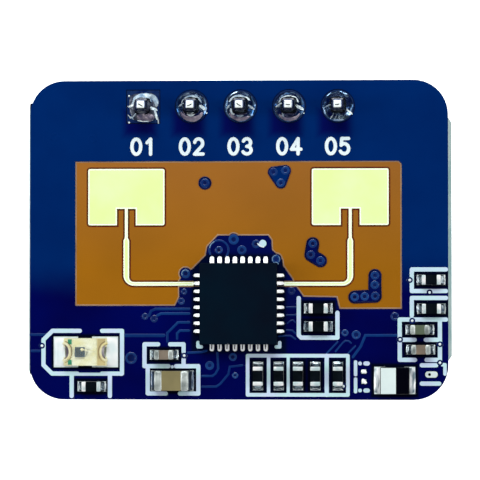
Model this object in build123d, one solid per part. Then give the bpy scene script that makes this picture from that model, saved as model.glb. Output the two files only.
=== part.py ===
from build123d import *
import math
import os

os.makedirs("parts", exist_ok=True)

# Microwave radar sensor module: a small printed board with two patch antennas in a bare window,
# a radar chip between their feed lines, and a five-pin header soldered from the antenna side.
# Millimetres. X runs along the pin row, Y from the parts towards the pin edge, Z out of the antenna
# side. The origin is on the middle pin, at the face of the header strip that meets a carrier board.

# Header
pin_pitch = 2.54
pin_count = 5
pin_side = 0.64
pin_point_side = 0.46  # the flat end of a pin's point
pin_point_length = 0.28
pin_below_strip = 6.0
pin_above_board = 1.7
strip_height = 2.5
strip_width = 2.5
strip_notch = 0.45  # depth of the vee between two places of the strip

# Board: its outline is the antenna window and the margins round it
board_thickness = 1.2
board_corner = 1.8
pin_row_to_top_edge = 1.36
pin_row_to_window = 2.85
window_height = 7.55
window_width = 17.04
window_shift = -0.12  # the window's middle from the middle pin
window_low_step = 0.16  # the window reaches this much lower beside the right feed
window_step_from_chip = 5.0  # where that step starts, from the chip's middle
window_corner = 0.26  # radius of the window's upper right corner
left_margin = 2.37
right_margin = 2.4
lower_margin = 4.88
copper_thickness = 0.035
mask_thickness = 0.04
mask_gap = 0.04  # bare ring between a land and the solder mask
ink_thickness = 0.02

# Scored sides: what is left of the webs that held the board in its panel
score_depth = 0.4
left_web_proud = 0.1
right_web_proud = 0.19
left_web_from_top, left_web_from_bottom = 1.16, 1.33
right_web_from_top, right_web_from_bottom = 1.96, 2.03
web_slant = 0.25
web_root = 0.3

# Pin lands and their solder
drill = 1.1
hole_plating = 0.03
pin_land = 1.7
cone_height = 1.0
cone_rim = 0.06  # the land stands this far out past the solder
cone_collar = 0.03  # solder left round the pin's corners at the top of the cone
square_cone_height = 0.32
square_cone_top = 0.72  # share of the square's side that is left at the top of its slope
solder_hollow = 0.34  # how full the curve of a solder joint is: 0.5 would be straight

# Patch antennas
patch_width = 4.0
patch_height = 2.95
patch_corner = 0.1
patch_from_side = 0.68
patch_from_top = 0.4
patch_slot_width = 0.41
patch_slot_depth = 0.86
feed_neck_width = 0.16
feed_neck_length = 0.65
feed_taper_length = 0.15
feed_width = 0.3
feed_row_width = 0.2
feed_bend = 0.55
feed_clearance = 0.07

# Radar chip
chip_x = -0.08
chip_above_window_bottom = 0.11
chip_width = 4.0
chip_depth = 4.22
chip_height = 0.85
leads_per_side = 8
lead_pitch_x = 0.4
lead_pitch_y = 0.415
lead_width = 0.22
lead_length = 0.4
lead_height = 0.2
chip_pad_side = 2.6
chip_land_reach = 0.36
solder_film = 0.03
solder_toe = 0.02
lead_solder_climb = 0.8  # share of a lead's height that solder covers
land_roundness = 0.45  # corner radius of a chip's land, as a share of its width
island_radius = 0.34
small_island_radius = 0.29
bay_foot_left, bay_foot_right = 3.4, 5.23  # how far the bay reaches along the window's lower side

# Chip resistors and ceramic capacitors: length, width, height, wrap of the end caps
resistor_size = (1.0, 0.52, 0.35)
resistor_wrap = 0.22
small_capacitor_size = (1.0, 0.5, 0.5)
small_capacitor_wrap = 0.28
big_capacitor_size = (1.76, 1.03, 0.85)
big_capacitor_wrap = 0.4
cap_skin = 0.02
land_reach = 0.24
land_inset = 0.2
resistor_solder_climb = 0.6  # share of an end cap's height that solder covers
capacitor_solder_climb = 0.45

# Indicator light
led_length, led_width = 2.25, 1.43
led_base_height = 0.3
led_plating = 0.03
led_notch_radius = 0.3
led_left_end, led_right_end = 0.39, 0.52
led_lens_height = 0.42
led_lens_draft = 8
led_die_side = 0.5
led_die_height = 0.12
led_die_shift = -0.27
led_land_reach = 0.56
led_land_width = 1.6
led_land_inset_left, led_land_inset_right = 0.72, 0.8
led_solder_margin = 0.05
led_solder_climb = 0.5

# Moulded diode
diode_length, diode_width, diode_height = 1.52, 1.41, 1.0
diode_draft = 4
diode_strap = 0.12
diode_strap_width = 1.3
diode_foot = 0.4
diode_band = 0.78
diode_seam = 0.5  # height of the mould's parting line
diode_solder_climb = 0.3
diode_land_reach = 0.18
diode_off_x, diode_off_y = -0.04, 0.04  # from the middle of its group

# Lands with no part on them
spare_land_width, spare_land_depth = 0.24, 0.22
test_land_width, test_land_depth = 0.64, 0.32

# Parts on the back
controller_side = 4.0
controller_height = 0.75
controller_leads_per_side = 6
controller_lead_pitch = 0.5
crystal_length, crystal_width, crystal_height = 2.5, 2.0, 0.6
crystal_lid_inset = 0.15
crystal_lid_height = 0.1
crystal_lid_corner = 0.2
crystal_land_length, crystal_land_width = 0.9, 0.8
regulator_length, regulator_width, regulator_height = 2.9, 1.6, 1.1
regulator_lead_pitch = 0.95
regulator_lead_width = 0.4
regulator_lead_reach = 0.6
regulator_lead_thickness = 0.13
regulator_stand = 0.1

# Drawn lines
ink_line = 0.22
ink_frame_line = 0.19
ink_fine_line = 0.18
ink_pinched_line = 0.16

# Edges and levels that follow from the sizes above
top_edge = pin_row_to_top_edge
window_top = -pin_row_to_window
window_bottom = window_top - window_height
bottom_edge = window_bottom - lower_margin
window_left = window_shift - window_width / 2
window_right = window_shift + window_width / 2
left_edge = window_left - left_margin
right_edge = window_right + right_margin
board_width = right_edge - left_edge
board_height = top_edge - bottom_edge
board_centre = ((left_edge + right_edge) / 2, (top_edge + bottom_edge) / 2)
laminate_bottom = strip_height + mask_thickness
laminate_top = laminate_bottom + board_thickness
mask_top = laminate_top + mask_thickness
hole_radius = drill / 2
plated_radius = hole_radius - hole_plating
land_radius = pin_land / 2
chip_y = window_bottom + chip_above_window_bottom
seat_height = copper_thickness + solder_film  # underside of a soldered part above the laminate
pin_places = [(place - (pin_count - 1) / 2) * pin_pitch for place in range(pin_count)]

# Middles of the groups of parts on the antenna side
led_x, led_y = left_edge + 2.94, window_bottom - 2.4
pair_x, pair_y = 4.06, window_bottom - 0.6
row_x, row_y = 3.0, window_bottom - 3.65
twin_x, twin_y = -3.55, window_bottom - 3.89
diode_x, diode_y = 8.06, window_bottom - 3.91
column_y = window_bottom


def block(width, depth, height, x=0.0, y=0.0, z=0.0):
    """A box standing on z, with its middle at x, y."""
    return Pos(x, y, z) * Box(width, depth, height, align=(Align.CENTER, Align.CENTER, Align.MIN))


def film(outline, bottom, thickness):
    """A flat layer of one outline."""
    return Pos(0, 0, bottom) * extrude(outline, amount=thickness)


def rectangle(left, bottom, right, top):
    """A rectangle given by its four sides."""
    return Pos((left + right) / 2, (bottom + top) / 2) * Rectangle(right - left, top - bottom)


def stroke(points, width):
    """A drawn line with round ends and corners through the points."""
    line = Sketch()
    for (x0, y0), (x1, y1) in zip(points, points[1:]):
        run = math.hypot(x1 - x0, y1 - y0)
        turn = math.degrees(math.atan2(y1 - y0, x1 - x0))
        line += Pos((x0 + x1) / 2, (y0 + y1) / 2) * Rot(0, 0, turn) * SlotCenterToCenter(run, width)
    return line


def moved(points, x, y):
    """Points of a group, carried to the group's middle."""
    return [(x + point_x, y + point_y) for point_x, point_y in points]


def on_front(piece, x, y, turn=0):
    """Places a piece, built on z = 0, on the antenna side of the laminate."""
    return Pos(x, y, laminate_top) * Rot(0, 0, turn) * piece


def on_back(piece, x, y, turn=0):
    """Places a piece, built on z = 0, on the pin side of the laminate."""
    return Pos(x, y, laminate_bottom) * Rot(180, 0, turn) * piece


def save(name, *pieces):
    """Writes one named piece, or a set of like pieces."""
    solids = [solid for piece in pieces for solid in piece.solids()]
    export_step(Compound(solids) if len(solids) > 1 else solids[0], f"parts/{name}.step")


# Lands are flat copper shapes to solder on: (x, y, width, depth, corner radius)
def end_lands(length, width, reach=land_reach, inset=land_inset):
    """The two lands of a part with a terminal at each end."""
    middle = length / 2 + (reach - inset) / 2
    return [(side * middle, 0, reach + inset, width, 0) for side in (-1, 1)]


def chip_lands(width, depth, count, pitch_x, pitch_y, pad_side):
    """The lands of a chip with leads along its four sides and a pad under its middle."""
    size, reach = lead_width, lead_length + chip_land_reach
    lands = [(0, 0, pad_side, pad_side, 0)]
    for place in range(count):
        along = place - (count - 1) / 2
        for side in (-1, 1):
            across_x = side * (width / 2 + (chip_land_reach - lead_length) / 2)
            across_y = side * (depth / 2 + (chip_land_reach - lead_length) / 2)
            lands.append((across_x, along * pitch_y, reach, size, size * land_roundness))
            lands.append((along * pitch_x, across_y, size, reach, size * land_roundness))
    return lands


def placed(lands, x, y, turn=0, flip=1):
    """Lands carried to a part's place: a quarter turn swaps their sides, and the back flips y."""
    if turn % 180:
        return [(x - ly, y + flip * lx, depth, width, corner) for lx, ly, width, depth, corner in lands]
    return [(x + lx, y + flip * ly, width, depth, corner) for lx, ly, width, depth, corner in lands]


def land_outline(x, y, width, depth, corner, grow=0.0):
    """The outline of a land, or of the opening that leaves it bare."""
    width, depth, corner = width + 2 * grow, depth + 2 * grow, corner + grow
    if corner > grow:
        return Pos(x, y) * RectangleRounded(width, depth, corner)
    return Pos(x, y) * Rectangle(width, depth)


def solder_bead(width, inset, reach, height, round_toe=False):
    """Solder under a terminal and up its end face, which stands at x = 0, with the land's end at +X."""
    low, high = copper_thickness, copper_thickness + height
    with BuildPart() as bead:
        with BuildSketch(Plane.XZ):
            with BuildLine():
                Polyline(
                    (0, high), (0, low + solder_film), (-inset, low + solder_film),
                    (-inset, low), (reach, low), (reach, low + solder_toe),
                )
                ThreePointArc(
                    (reach, low + solder_toe),
                    (reach * solder_hollow, low + solder_toe + (height - solder_toe) * solder_hollow),
                    (0, high),
                )
            make_face()
        extrude(amount=width / 2, both=True)
    if round_toe:
        outline = RectangleRounded(reach + inset, width, width * land_roundness)
        return bead.part & extrude(Pos((reach - inset) / 2, 0) * outline, amount=high)
    return bead.part


def end_beads(length, width, height, reach=land_reach, inset=land_inset):
    """The solder at both ends of a part."""
    bead = solder_bead(width, inset, reach, height)
    return [Rot(0, 0, turn) * Pos(length / 2, 0, 0) * bead for turn in (0, 180)]


def end_caps(length, width, height, wrap):
    """The metal cups over the two ends of a chip part."""
    cups = []
    for side in (-1, 1):
        cup = block(wrap, width, height, side * (length - wrap) / 2, 0, seat_height)
        core = block(
            wrap, width - 2 * cap_skin, height - 2 * cap_skin,
            side * ((length - wrap) / 2 - cap_skin), 0, seat_height + cap_skin,
        )
        cups.append(cup - core)
    return cups


def chip_core(length, width, height, wrap, belly):
    """The body of a chip part: slim ends inside the cups and a full middle between them."""
    core = block(
        length - 2 * cap_skin, width - 2 * cap_skin, height - 2 * cap_skin, 0, 0, seat_height + cap_skin,
    )
    middle = block(length - 2 * wrap, width - 2 * belly, height - 2 * belly, 0, 0, seat_height + belly)
    return core + middle


# Board and its films
def board_outline():
    """The milled outline of the board."""
    return Pos(*board_centre) * RectangleRounded(board_width, board_height, board_corner)


def score_web(side, edge, proud, from_top, from_bottom):
    """The snapped web on one scored side, with the sloped faces of both scores."""
    low, high = bottom_edge + from_bottom, top_edge - from_top
    section = Polygon(
        (-web_root, laminate_bottom), (0, laminate_bottom), (proud, laminate_bottom + score_depth),
        (proud, laminate_top - score_depth), (0, laminate_top), (-web_root, laminate_top), align=None,
    )
    bar = Pos(0, high, 0) * Rot(90, 0, 0) * extrude(section, amount=high - low)
    plan = Polygon(
        (-web_root, low), (0, low), (proud, low + web_slant),
        (proud, high - web_slant), (0, high), (-web_root, high), align=None,
    )
    web = bar & film(plan, laminate_bottom, board_thickness)
    return Pos(edge, 0, 0) * (web if side > 0 else mirror(web, about=Plane.YZ))


def board():
    """The bare laminate, drilled for the pins."""
    slab = film(board_outline(), laminate_bottom, board_thickness)
    slab += score_web(-1, left_edge, left_web_proud, left_web_from_top, left_web_from_bottom)
    slab += score_web(1, right_edge, right_web_proud, right_web_from_top, right_web_from_bottom)
    for x in pin_places:
        slab -= Pos(x, 0, laminate_bottom) * Cylinder(
            hole_radius, board_thickness, align=(Align.CENTER, Align.CENTER, Align.MIN)
        )
    return slab


def pin_land_outline(place, grow=0.0):
    """The land round a pin: square at the first pin, round at the others."""
    side = pin_land + 2 * grow
    outline = Rectangle(side, side) if place == 0 else Circle(side / 2)
    return Pos(pin_places[place], 0) * outline


def chip_bay():
    """The tongue of solder mask that reaches up into the window round the radar chip."""
    shoulder = moved(
        [
            (-3.1, 0.35), (-3.12, 1.2), (-2.8, 1.6), (-2.4, 1.82), (-1.72, 2.51), (-1.64, 2.98),
            (-1.09, 3.55), (1.52, 3.55), (1.69, 3.33), (1.72, 2.8), (2.26, 2.3), (2.29, 1.99),
            (2.76, 1.31), (3.02, 0.84), (3.36, 0.36), (5.08, 0.33),
        ],
        chip_x, chip_y,
    )
    low = window_bottom - window_low_step
    feet = (chip_x - bay_foot_left, low), (chip_x + bay_foot_right, low)
    bay = make_face(Polyline(feet[0], *shoulder, feet[1], close=True).edges())
    for x, y, radius in [(-2.79, 1.58, 0.3), (-0.27, 3.4, 0.26), (1.96, 2.34, 0.26)]:
        bay += Pos(chip_x + x, chip_y + y) * Circle(radius)
    return bay


def mask_islands():
    """The mask left over the ground vias inside the window: one dot, and rows of dots that run together."""
    dots = Pos(window_left + 6.79, window_top - 1.14) * Circle(island_radius)
    rows = [
        ([(-6.68, -0.58), (-6.05, -0.5), (-6.29, -1.15), (-6.68, -0.58)], small_island_radius),
        ([(-4.63, -4.31), (-4.73, -4.89), (-4.23, -5.2)], island_radius),
        ([(-1.4, -5.97), (-1.41, -6.46), (-1.39, -7.04), (-1.93, -7.06), (-2.45, -7.09)], island_radius),
    ]
    for points, radius in rows:
        dots += stroke(moved(points, window_right, window_top), 2 * radius)
    return dots


def feed_row_y():
    """The feed lines meet the second lead from the top on both sides of the chip."""
    return chip_y + (leads_per_side / 2 - 1.5) * lead_pitch_y


def window():
    """Where the front mask leaves the laminate bare."""
    low = window_bottom - window_low_step
    opening = rectangle(window_left, window_bottom, window_right, window_top)
    corner = opening.vertices().sort_by_distance((window_right, window_top))[0]
    opening = fillet(corner, window_corner)
    opening += rectangle(chip_x + window_step_from_chip, low, window_right, window_bottom)
    opening -= chip_bay()
    opening -= mask_islands()
    half = feed_row_width / 2 + feed_clearance
    reach = chip_width / 2 + chip_land_reach
    for side in (-1, 1):
        ends = sorted([chip_x + side * reach, chip_x + side * (reach + 1.2)])
        opening += rectangle(ends[0], feed_row_y() - half, ends[1], feed_row_y() + half)
    return opening


def solder_mask(bottom, lands, bare=None):
    """A film of solder mask, open at the pins, the lands and the window."""
    outline = board_outline()
    openings = [pin_land_outline(place, mask_gap) for place in range(pin_count)]
    openings += [land_outline(*land, grow=mask_gap) for land in lands]
    if bare:
        openings.append(bare)
    return film(outline - openings, bottom, mask_thickness)


# Antennas
def antenna(side):
    """One patch with its inset feed, and the line that runs from it to the chip."""
    patch_x = window_left + patch_from_side + patch_width / 2
    if side > 0:
        patch_x = window_right - patch_from_side - patch_width / 2
    patch_top = window_top - patch_from_top
    patch_bottom = patch_top - patch_height
    patch = Pos(0, (patch_bottom + patch_top) / 2) * RectangleRounded(patch_width, patch_height, patch_corner)
    for slot in (-1, 1):
        slot_x = slot * (feed_neck_width + patch_slot_width) / 2
        slot_cut = Rectangle(patch_slot_width, patch_slot_depth)
        patch -= Pos(slot_x, patch_bottom + patch_slot_depth / 2) * slot_cut
    neck_end = patch_bottom - feed_neck_length
    taper_end = neck_end - feed_taper_length
    row = feed_row_y()
    inward = abs(patch_x - chip_x) - chip_width / 2 - chip_land_reach
    narrow, wide, half_row = feed_neck_width / 2, feed_width / 2, feed_row_width / 2
    feed = make_face(
        Polyline(
            (-narrow, patch_bottom + patch_slot_depth), (-narrow, neck_end), (-wide, taper_end),
            (-wide, row - half_row), (inward, row - half_row), (inward, row + half_row),
            (wide, row + half_row), (wide, taper_end), (narrow, neck_end),
            (narrow, patch_bottom + patch_slot_depth), close=True,
        ).edges()
    )
    outer = feed.vertices().sort_by_distance((-wide, row - half_row))[0]
    feed = fillet(outer, feed_bend)
    inner = feed.vertices().sort_by_distance((wide, row + half_row))[0]
    feed = fillet(inner, feed_bend - feed_width)
    copper = film(patch + feed, laminate_top, copper_thickness)
    if side > 0:
        copper = mirror(copper, about=Plane.YZ)
    return Pos(patch_x, 0, 0) * copper


# Header
def header_strip():
    """The moulded strip: one block, nicked between its places, with a hole for each pin."""
    half = strip_width / 2
    upper = []
    for x in pin_places:
        upper += [
            (x - pin_pitch / 2, half - strip_notch), (x - pin_pitch / 2 + strip_notch, half),
            (x + pin_pitch / 2 - strip_notch, half), (x + pin_pitch / 2, half - strip_notch),
        ]
    lower = [(x, -y) for x, y in reversed(upper)]
    corners = [point for i, point in enumerate(upper + lower) if point != (upper + lower)[i - 1]]
    strip = extrude(make_face(Polyline(*corners, close=True).edges()), amount=strip_height)
    for x in pin_places:
        strip -= block(pin_side, pin_side, strip_height, x)
    return strip


def header_pin(x):
    """A square pin with a blunt point at each end."""
    low = -pin_below_strip
    high = mask_top + pin_above_board
    shank = block(pin_side, pin_side, high - low - 2 * pin_point_length, x, 0, low + pin_point_length)
    upper = loft([
        Pos(x, 0, high - pin_point_length) * Rectangle(pin_side, pin_side),
        Pos(x, 0, high) * Rectangle(pin_point_side, pin_point_side),
    ])
    lower = loft([
        Pos(x, 0, low) * Rectangle(pin_point_side, pin_point_side),
        Pos(x, 0, low + pin_point_length) * Rectangle(pin_side, pin_side),
    ])
    return shank + upper + lower


def plated_hole(place):
    """The copper sleeve of a pin hole and its land on both faces."""
    tall = board_thickness + 2 * copper_thickness
    bottom = laminate_bottom - copper_thickness
    lands = film(pin_land_outline(place), bottom, copper_thickness)
    lands += film(pin_land_outline(place), laminate_top, copper_thickness)
    centred = (Align.CENTER, Align.CENTER, Align.MIN)
    sleeve = lands + Pos(pin_places[place], 0, bottom) * Cylinder(hole_radius, tall, align=centred)
    return sleeve - Pos(pin_places[place], 0, bottom) * Cylinder(plated_radius, tall, align=centred)


def pin_solder(place):
    """Solder that fills a pin hole and climbs the pin in a hollow-sided cone."""
    bottom = laminate_bottom - copper_thickness
    land_top = laminate_top + copper_thickness
    top = land_top + cone_height
    foot = land_radius - cone_rim
    collar = pin_side / math.sqrt(2) + cone_collar
    with BuildPart() as cone:
        with BuildSketch(Plane.XZ):
            with BuildLine():
                Polyline(
                    (collar, top), (0, top), (0, bottom), (plated_radius, bottom),
                    (plated_radius, land_top), (foot, land_top),
                )
                ThreePointArc(
                    (foot, land_top),
                    (collar + (foot - collar) * solder_hollow, land_top + cone_height * solder_hollow),
                    (collar, top),
                )
            make_face()
        revolve(axis=Axis.Z)
    solder = cone.part
    if place == 0:
        side = pin_land - 2 * cone_rim
        solder += loft([
            Pos(0, 0, land_top) * Rectangle(side, side),
            Pos(0, 0, land_top + square_cone_height)
            * Rectangle(side * square_cone_top, side * square_cone_top),
        ])
    solder -= block(pin_side, pin_side, top - bottom, 0, 0, bottom)
    return Pos(pin_places[place], 0, 0) * solder


# Chips with leads along four sides
def lead_places(width, depth, count, pitch_x, pitch_y):
    """Middle and turn of each lead, with its outer end towards local +X."""
    found = []
    for place in range(count):
        along = place - (count - 1) / 2
        found.append((width / 2, along * pitch_y, 0))
        found.append((-width / 2, along * pitch_y, 180))
        found.append((along * pitch_x, depth / 2, 90))
        found.append((along * pitch_x, -depth / 2, -90))
    return found


def chip_pieces(width, depth, height, count, pitch_x, pitch_y, pad_side):
    """The moulded body, the metal that shows on its underside, and the solder below it."""
    places = lead_places(width, depth, count, pitch_x, pitch_y)
    lead = block(lead_length, lead_width, lead_height, -lead_length / 2, 0, seat_height)
    leads = [Pos(x, y, 0) * Rot(0, 0, turn) * lead for x, y, turn in places]
    pad = block(pad_side, pad_side, lead_height, 0, 0, seat_height)
    body = block(width, depth, height, 0, 0, seat_height) - [*leads, pad]
    bead = solder_bead(
        lead_width, lead_length, chip_land_reach, lead_height * lead_solder_climb, round_toe=True
    )
    solder = [Pos(x, y, 0) * Rot(0, 0, turn) * bead for x, y, turn in places]
    solder.append(block(pad_side, pad_side, solder_film, 0, 0, copper_thickness))
    return body, [*leads, pad], solder


# Indicator light
def led_pieces():
    """Base with a half-round notch in each end, its plating, the die and the clear lens over it."""
    notches = [Pos(side * led_length / 2, 0) * Circle(led_notch_radius) for side in (-1, 1)]
    base_outline = Rectangle(led_length, led_width) - notches
    base = film(base_outline, seat_height + led_plating, led_base_height)
    plated_height = led_base_height + 2 * led_plating
    terminals = []
    for side, end in ((-1, led_left_end), (1, led_right_end)):
        plate = Pos(side * (led_length - end) / 2, 0) * Rectangle(end, led_width)
        plate -= Pos(side * led_length / 2, 0) * Circle(led_notch_radius - led_plating)
        terminals.append(film(plate, seat_height, plated_height) - base)
    floor = seat_height + led_plating + led_base_height
    lens_length = led_length - led_left_end - led_right_end
    lens_x = (led_left_end - led_right_end) / 2
    die = block(led_die_side, led_die_side, led_die_height, led_die_shift, 0, floor)
    lens = Pos(lens_x, 0, floor) * extrude(
        Rectangle(lens_length, led_width), amount=led_lens_height, taper=led_lens_draft
    )
    return base, terminals, die, lens - die


# Moulded diode
def diode_pieces():
    """Moulded body with drafted sides, its two folded straps and the painted cathode band."""
    lower = diode_seam
    middle = seat_height + lower
    body = Pos(0, 0, middle) * extrude(
        Rectangle(diode_length, diode_width), amount=diode_height - lower, taper=diode_draft
    )
    body += Pos(0, 0, middle) * Rot(180, 0, 0) * extrude(
        Rectangle(diode_length, diode_width), amount=lower - diode_strap, taper=diode_draft
    )
    straps = []
    for side in (-1, 1):
        wall_x = side * (diode_length + diode_strap) / 2
        foot_x = side * (diode_length - diode_foot) / 2
        wall = block(diode_strap, diode_strap_width, lower, wall_x, 0, seat_height)
        foot = block(diode_foot, diode_strap_width, diode_strap, foot_x, 0, seat_height)
        straps.append(wall + foot)
    slope = math.tan(math.radians(diode_draft)) * (diode_height - lower)
    band_x = -diode_length / 2 + slope + diode_band / 2
    band = block(diode_band, diode_width - 2 * slope, ink_thickness, band_x, 0, seat_height + diode_height)
    return body, straps, band


# Back parts
def regulator_pieces():
    """A five-legged regulator: moulded body, bent legs, and the lands and solder at their feet."""
    body = block(
        regulator_length, regulator_width, regulator_height - regulator_stand,
        0, 0, seat_height + regulator_stand,
    )
    thick, reach = regulator_lead_thickness, regulator_lead_reach
    knee, level = reach * 0.35, regulator_height * 0.5
    leg = Polygon(
        (0, level), (0, level - thick), (knee - thick / 2, level - thick), (knee - thick / 2, 0), (reach, 0),
        (reach, thick), (knee + thick / 2, thick), (knee + thick / 2, level), align=None,
    )
    leg = Pos(0, 0, seat_height) * extrude(Plane.YZ * leg, amount=regulator_lead_width / 2, both=True)
    legs, lands, solder = [], [], []
    foot_middle = regulator_width / 2 + (knee + reach) / 2
    for side, places in ((1, (-1, 1)), (-1, (-1, 0, 1))):
        for place in places:
            x = place * regulator_lead_pitch
            turn = 0 if side > 0 else 180
            legs.append(Pos(x, side * regulator_width / 2, 0) * Rot(0, 0, turn) * leg)
            lands.append((x, side * foot_middle, regulator_lead_width, reach, 0))
            solder.append(
                block(regulator_lead_width, reach, solder_film, x, side * foot_middle, copper_thickness)
            )
    return body, legs, lands, solder


def crystal_pieces():
    """A ceramic tub closed by a welded metal lid."""
    tub = block(crystal_length, crystal_width, crystal_height - crystal_lid_height, 0, 0, seat_height)
    lid_length, lid_width = crystal_length - 2 * crystal_lid_inset, crystal_width - 2 * crystal_lid_inset
    lid = film(
        RectangleRounded(lid_length, lid_width, crystal_lid_corner),
        seat_height + crystal_height - crystal_lid_height, crystal_lid_height,
    )
    return tub, lid


# Drawn marks
def ink():
    """The white part outlines on the antenna side."""
    marks = Sketch()

    def draw(points, x, y, width=ink_line):
        nonlocal marks
        marks += stroke(moved(points, x, y), width)

    def dot(x, y, radius):
        nonlocal marks
        marks += Pos(x, y) * Circle(radius)

    # Round the light and the resistor below it
    draw([(-0.32, 1.1), (-1.75, 1.1), (-2.22, 0.64), (-2.22, -0.69), (-1.77, -1.13), (-0.44, -1.13)],
         led_x, led_y)
    draw([(-0.44, -1.16), (0.84, -1.16)], led_x, led_y, ink_pinched_line)
    draw([(0.84, -1.13), (1.89, -1.13), (1.89, 1.1), (0.85, 1.1)], led_x, led_y)
    for side_x in (-0.74, 1.26):
        draw([(side_x, -1.2), (side_x, -2.3)], led_x, led_y)
    # Round the two capacitors left of the chip
    draw([(-0.74, 1.89), (-1.45, 1.89), (-1.45, 0.75), (-0.2, 0.75)], twin_x, twin_y)
    draw([(-0.11, 1.89), (0.59, 1.89), (0.59, 1.5)], twin_x, twin_y)
    draw([(0.59, 1.1), (0.59, 0.75)], twin_x, twin_y)
    draw([(0.2, 0.75), (1.36, 0.75), (1.36, -0.67), (0.4, -0.67)], twin_x, twin_y)
    draw([(-1.28, 0.75), (-1.28, -0.67), (-0.34, -0.67)], twin_x, twin_y)
    dot(twin_x + 0.62, twin_y + 1.3, 0.08)
    dot(twin_x, twin_y + 0.72, 0.08)
    # Round the row of five resistors
    draw([(-2.62, 1.06), (2.59, 1.06), (2.59, -0.97), (-2.62, -0.97), (-2.62, 1.06)],
         row_x, row_y, ink_frame_line)
    for divider_x, width in ((-1.53, ink_fine_line), (-0.51, ink_pinched_line), (1.49, ink_line)):
        draw([(divider_x, 1.06), (divider_x, -0.97)], row_x, row_y, width)
    # Beside the pair of resistors right of the chip
    draw([(-1.02, 1.0), (-1.02, -0.92), (-0.9, -1.05), (0.99, -1.05), (0.99, 0.24)], pair_x, pair_y)
    # Round the column along the right side
    far = -0.12
    for points in (
        [(far, 1.89), (-1.89, 1.89), (-1.89, 0.77), (far, 0.77)],
        [(far, 0.41), (-1.89, 0.41), (-1.89, -0.5)],
        [(far, -0.71), (-2.52, -0.71), (-2.52, -2.8), (-1.73, -2.8)],
        [(-2.52, -1.76), (-1.75, -1.76)],
        [(-1.17, -1.76), (-0.44, -1.76)],
        [(-0.44, -0.71), (-0.44, -2.86)],
        [(-1.13, -2.8), (-0.44, -2.8)],
    ):
        draw(points, right_edge, column_y)
    # Beside the diode
    for low, high in ((0.34, 1.0), (-0.54, 0.11)):
        draw([(-2.07, low), (-2.07, high)], diode_x, diode_y, ink_fine_line)
    for oval_y in (0.92, -0.48):
        draw([(-1.56, oval_y), (-1.44, oval_y)], diode_x, diode_y)
        dot(diode_x - 1.84, diode_y + oval_y, 0.1)
    draw([(1.36, 0.83), (2.1, 0.83)], diode_x, diode_y)
    draw([(2.42, 0.86), (2.56, 0.86), (2.56, 0.38)], diode_x, diode_y, ink_fine_line)
    draw([(1.36, -0.12), (2.26, -0.12)], diode_x, diode_y)
    # First-lead dot and two corner ticks at the chip
    dot(chip_x + 1.25, chip_y + 3.14, 0.19)
    for side in (-1, 1):
        corner_x, corner_y = side * (chip_width / 2 + 0.13), -(chip_depth / 2 + 0.13)
        draw([(corner_x, corner_y + 0.22), (corner_x, corner_y), (corner_x - side * 0.18, corner_y)],
             chip_x, chip_y, ink_fine_line)
    return film(marks, mask_top, ink_thickness)


# Places of the chip parts: x, y, quarter turn
resistor_places = [
    (led_x + 0.31, led_y - 1.8, 0),
    *[(row_x + offset, row_y, 90) for offset in (-2.08, -1.0, 0.0, 0.9, 2.07)],
    (pair_x, pair_y + 0.47, 0),
    (pair_x, pair_y - 0.47, 0),
    (right_edge - 0.89, column_y + 1.35, 0),
    (right_edge - 0.88, column_y - 0.15, 0),
]
small_capacitor_places = [
    (twin_x - 0.42, twin_y + 1.34, 0),
    (right_edge - 1.48, column_y - 1.24, 0),
    (right_edge - 1.43, column_y - 2.27, 0),
]
big_capacitor_place = (twin_x, twin_y, 0)
spare_land_places = [(diode_x - 1.64, diode_y + 0.5), (diode_x - 1.64, diode_y - 0.02)]
test_land = (diode_x + 1.86, diode_y + 0.35)
diode_place = (diode_x + diode_off_x, diode_y + diode_off_y)
controller_place, crystal_place, regulator_place = moved(
    [(-3.1, -3.45), (1.7, -2.35), (6.7, -3.55)], window_shift, window_top
)
back_capacitor_places = [
    (window_shift + x, window_top + y, turn)
    for x, y, turn in [
        (1.2, -5.75, 90), (2.7, -5.75, 90), (4.2, -1.35, 90), (6.7, -6.55, 0), (-6.8, -2.55, 90)
    ]
]

front_lands, back_lands = [], []
front_beads, back_beads = [], []

# Radar chip
front_lands += placed(
    chip_lands(chip_width, chip_depth, leads_per_side, lead_pitch_x, lead_pitch_y, chip_pad_side),
    chip_x, chip_y,
)
chip_body, chip_metal, chip_solder = chip_pieces(
    chip_width, chip_depth, chip_height, leads_per_side, lead_pitch_x, lead_pitch_y, chip_pad_side
)
save("radar_chip", on_front(chip_body, chip_x, chip_y))
save("radar_chip_leads", *[on_front(piece, chip_x, chip_y) for piece in chip_metal])
save("radar_chip_solder", *[on_front(piece, chip_x, chip_y) for piece in chip_solder])

# Resistors
resistor_body = chip_core(*resistor_size, resistor_wrap, belly=0.0)
resistor_cups = end_caps(*resistor_size, resistor_wrap)
resistor_beads = end_beads(resistor_size[0], resistor_size[1], resistor_size[2] * resistor_solder_climb)
cups = []
for number, (x, y, turn) in enumerate(resistor_places, 1):
    save(f"resistor_{number}", on_front(resistor_body, x, y, turn))
    cups += [on_front(cup, x, y, turn) for cup in resistor_cups]
    front_beads += [on_front(bead, x, y, turn) for bead in resistor_beads]
    front_lands += placed(end_lands(resistor_size[0], resistor_size[1]), x, y, turn)
save("resistor_end_caps", *cups)

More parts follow.
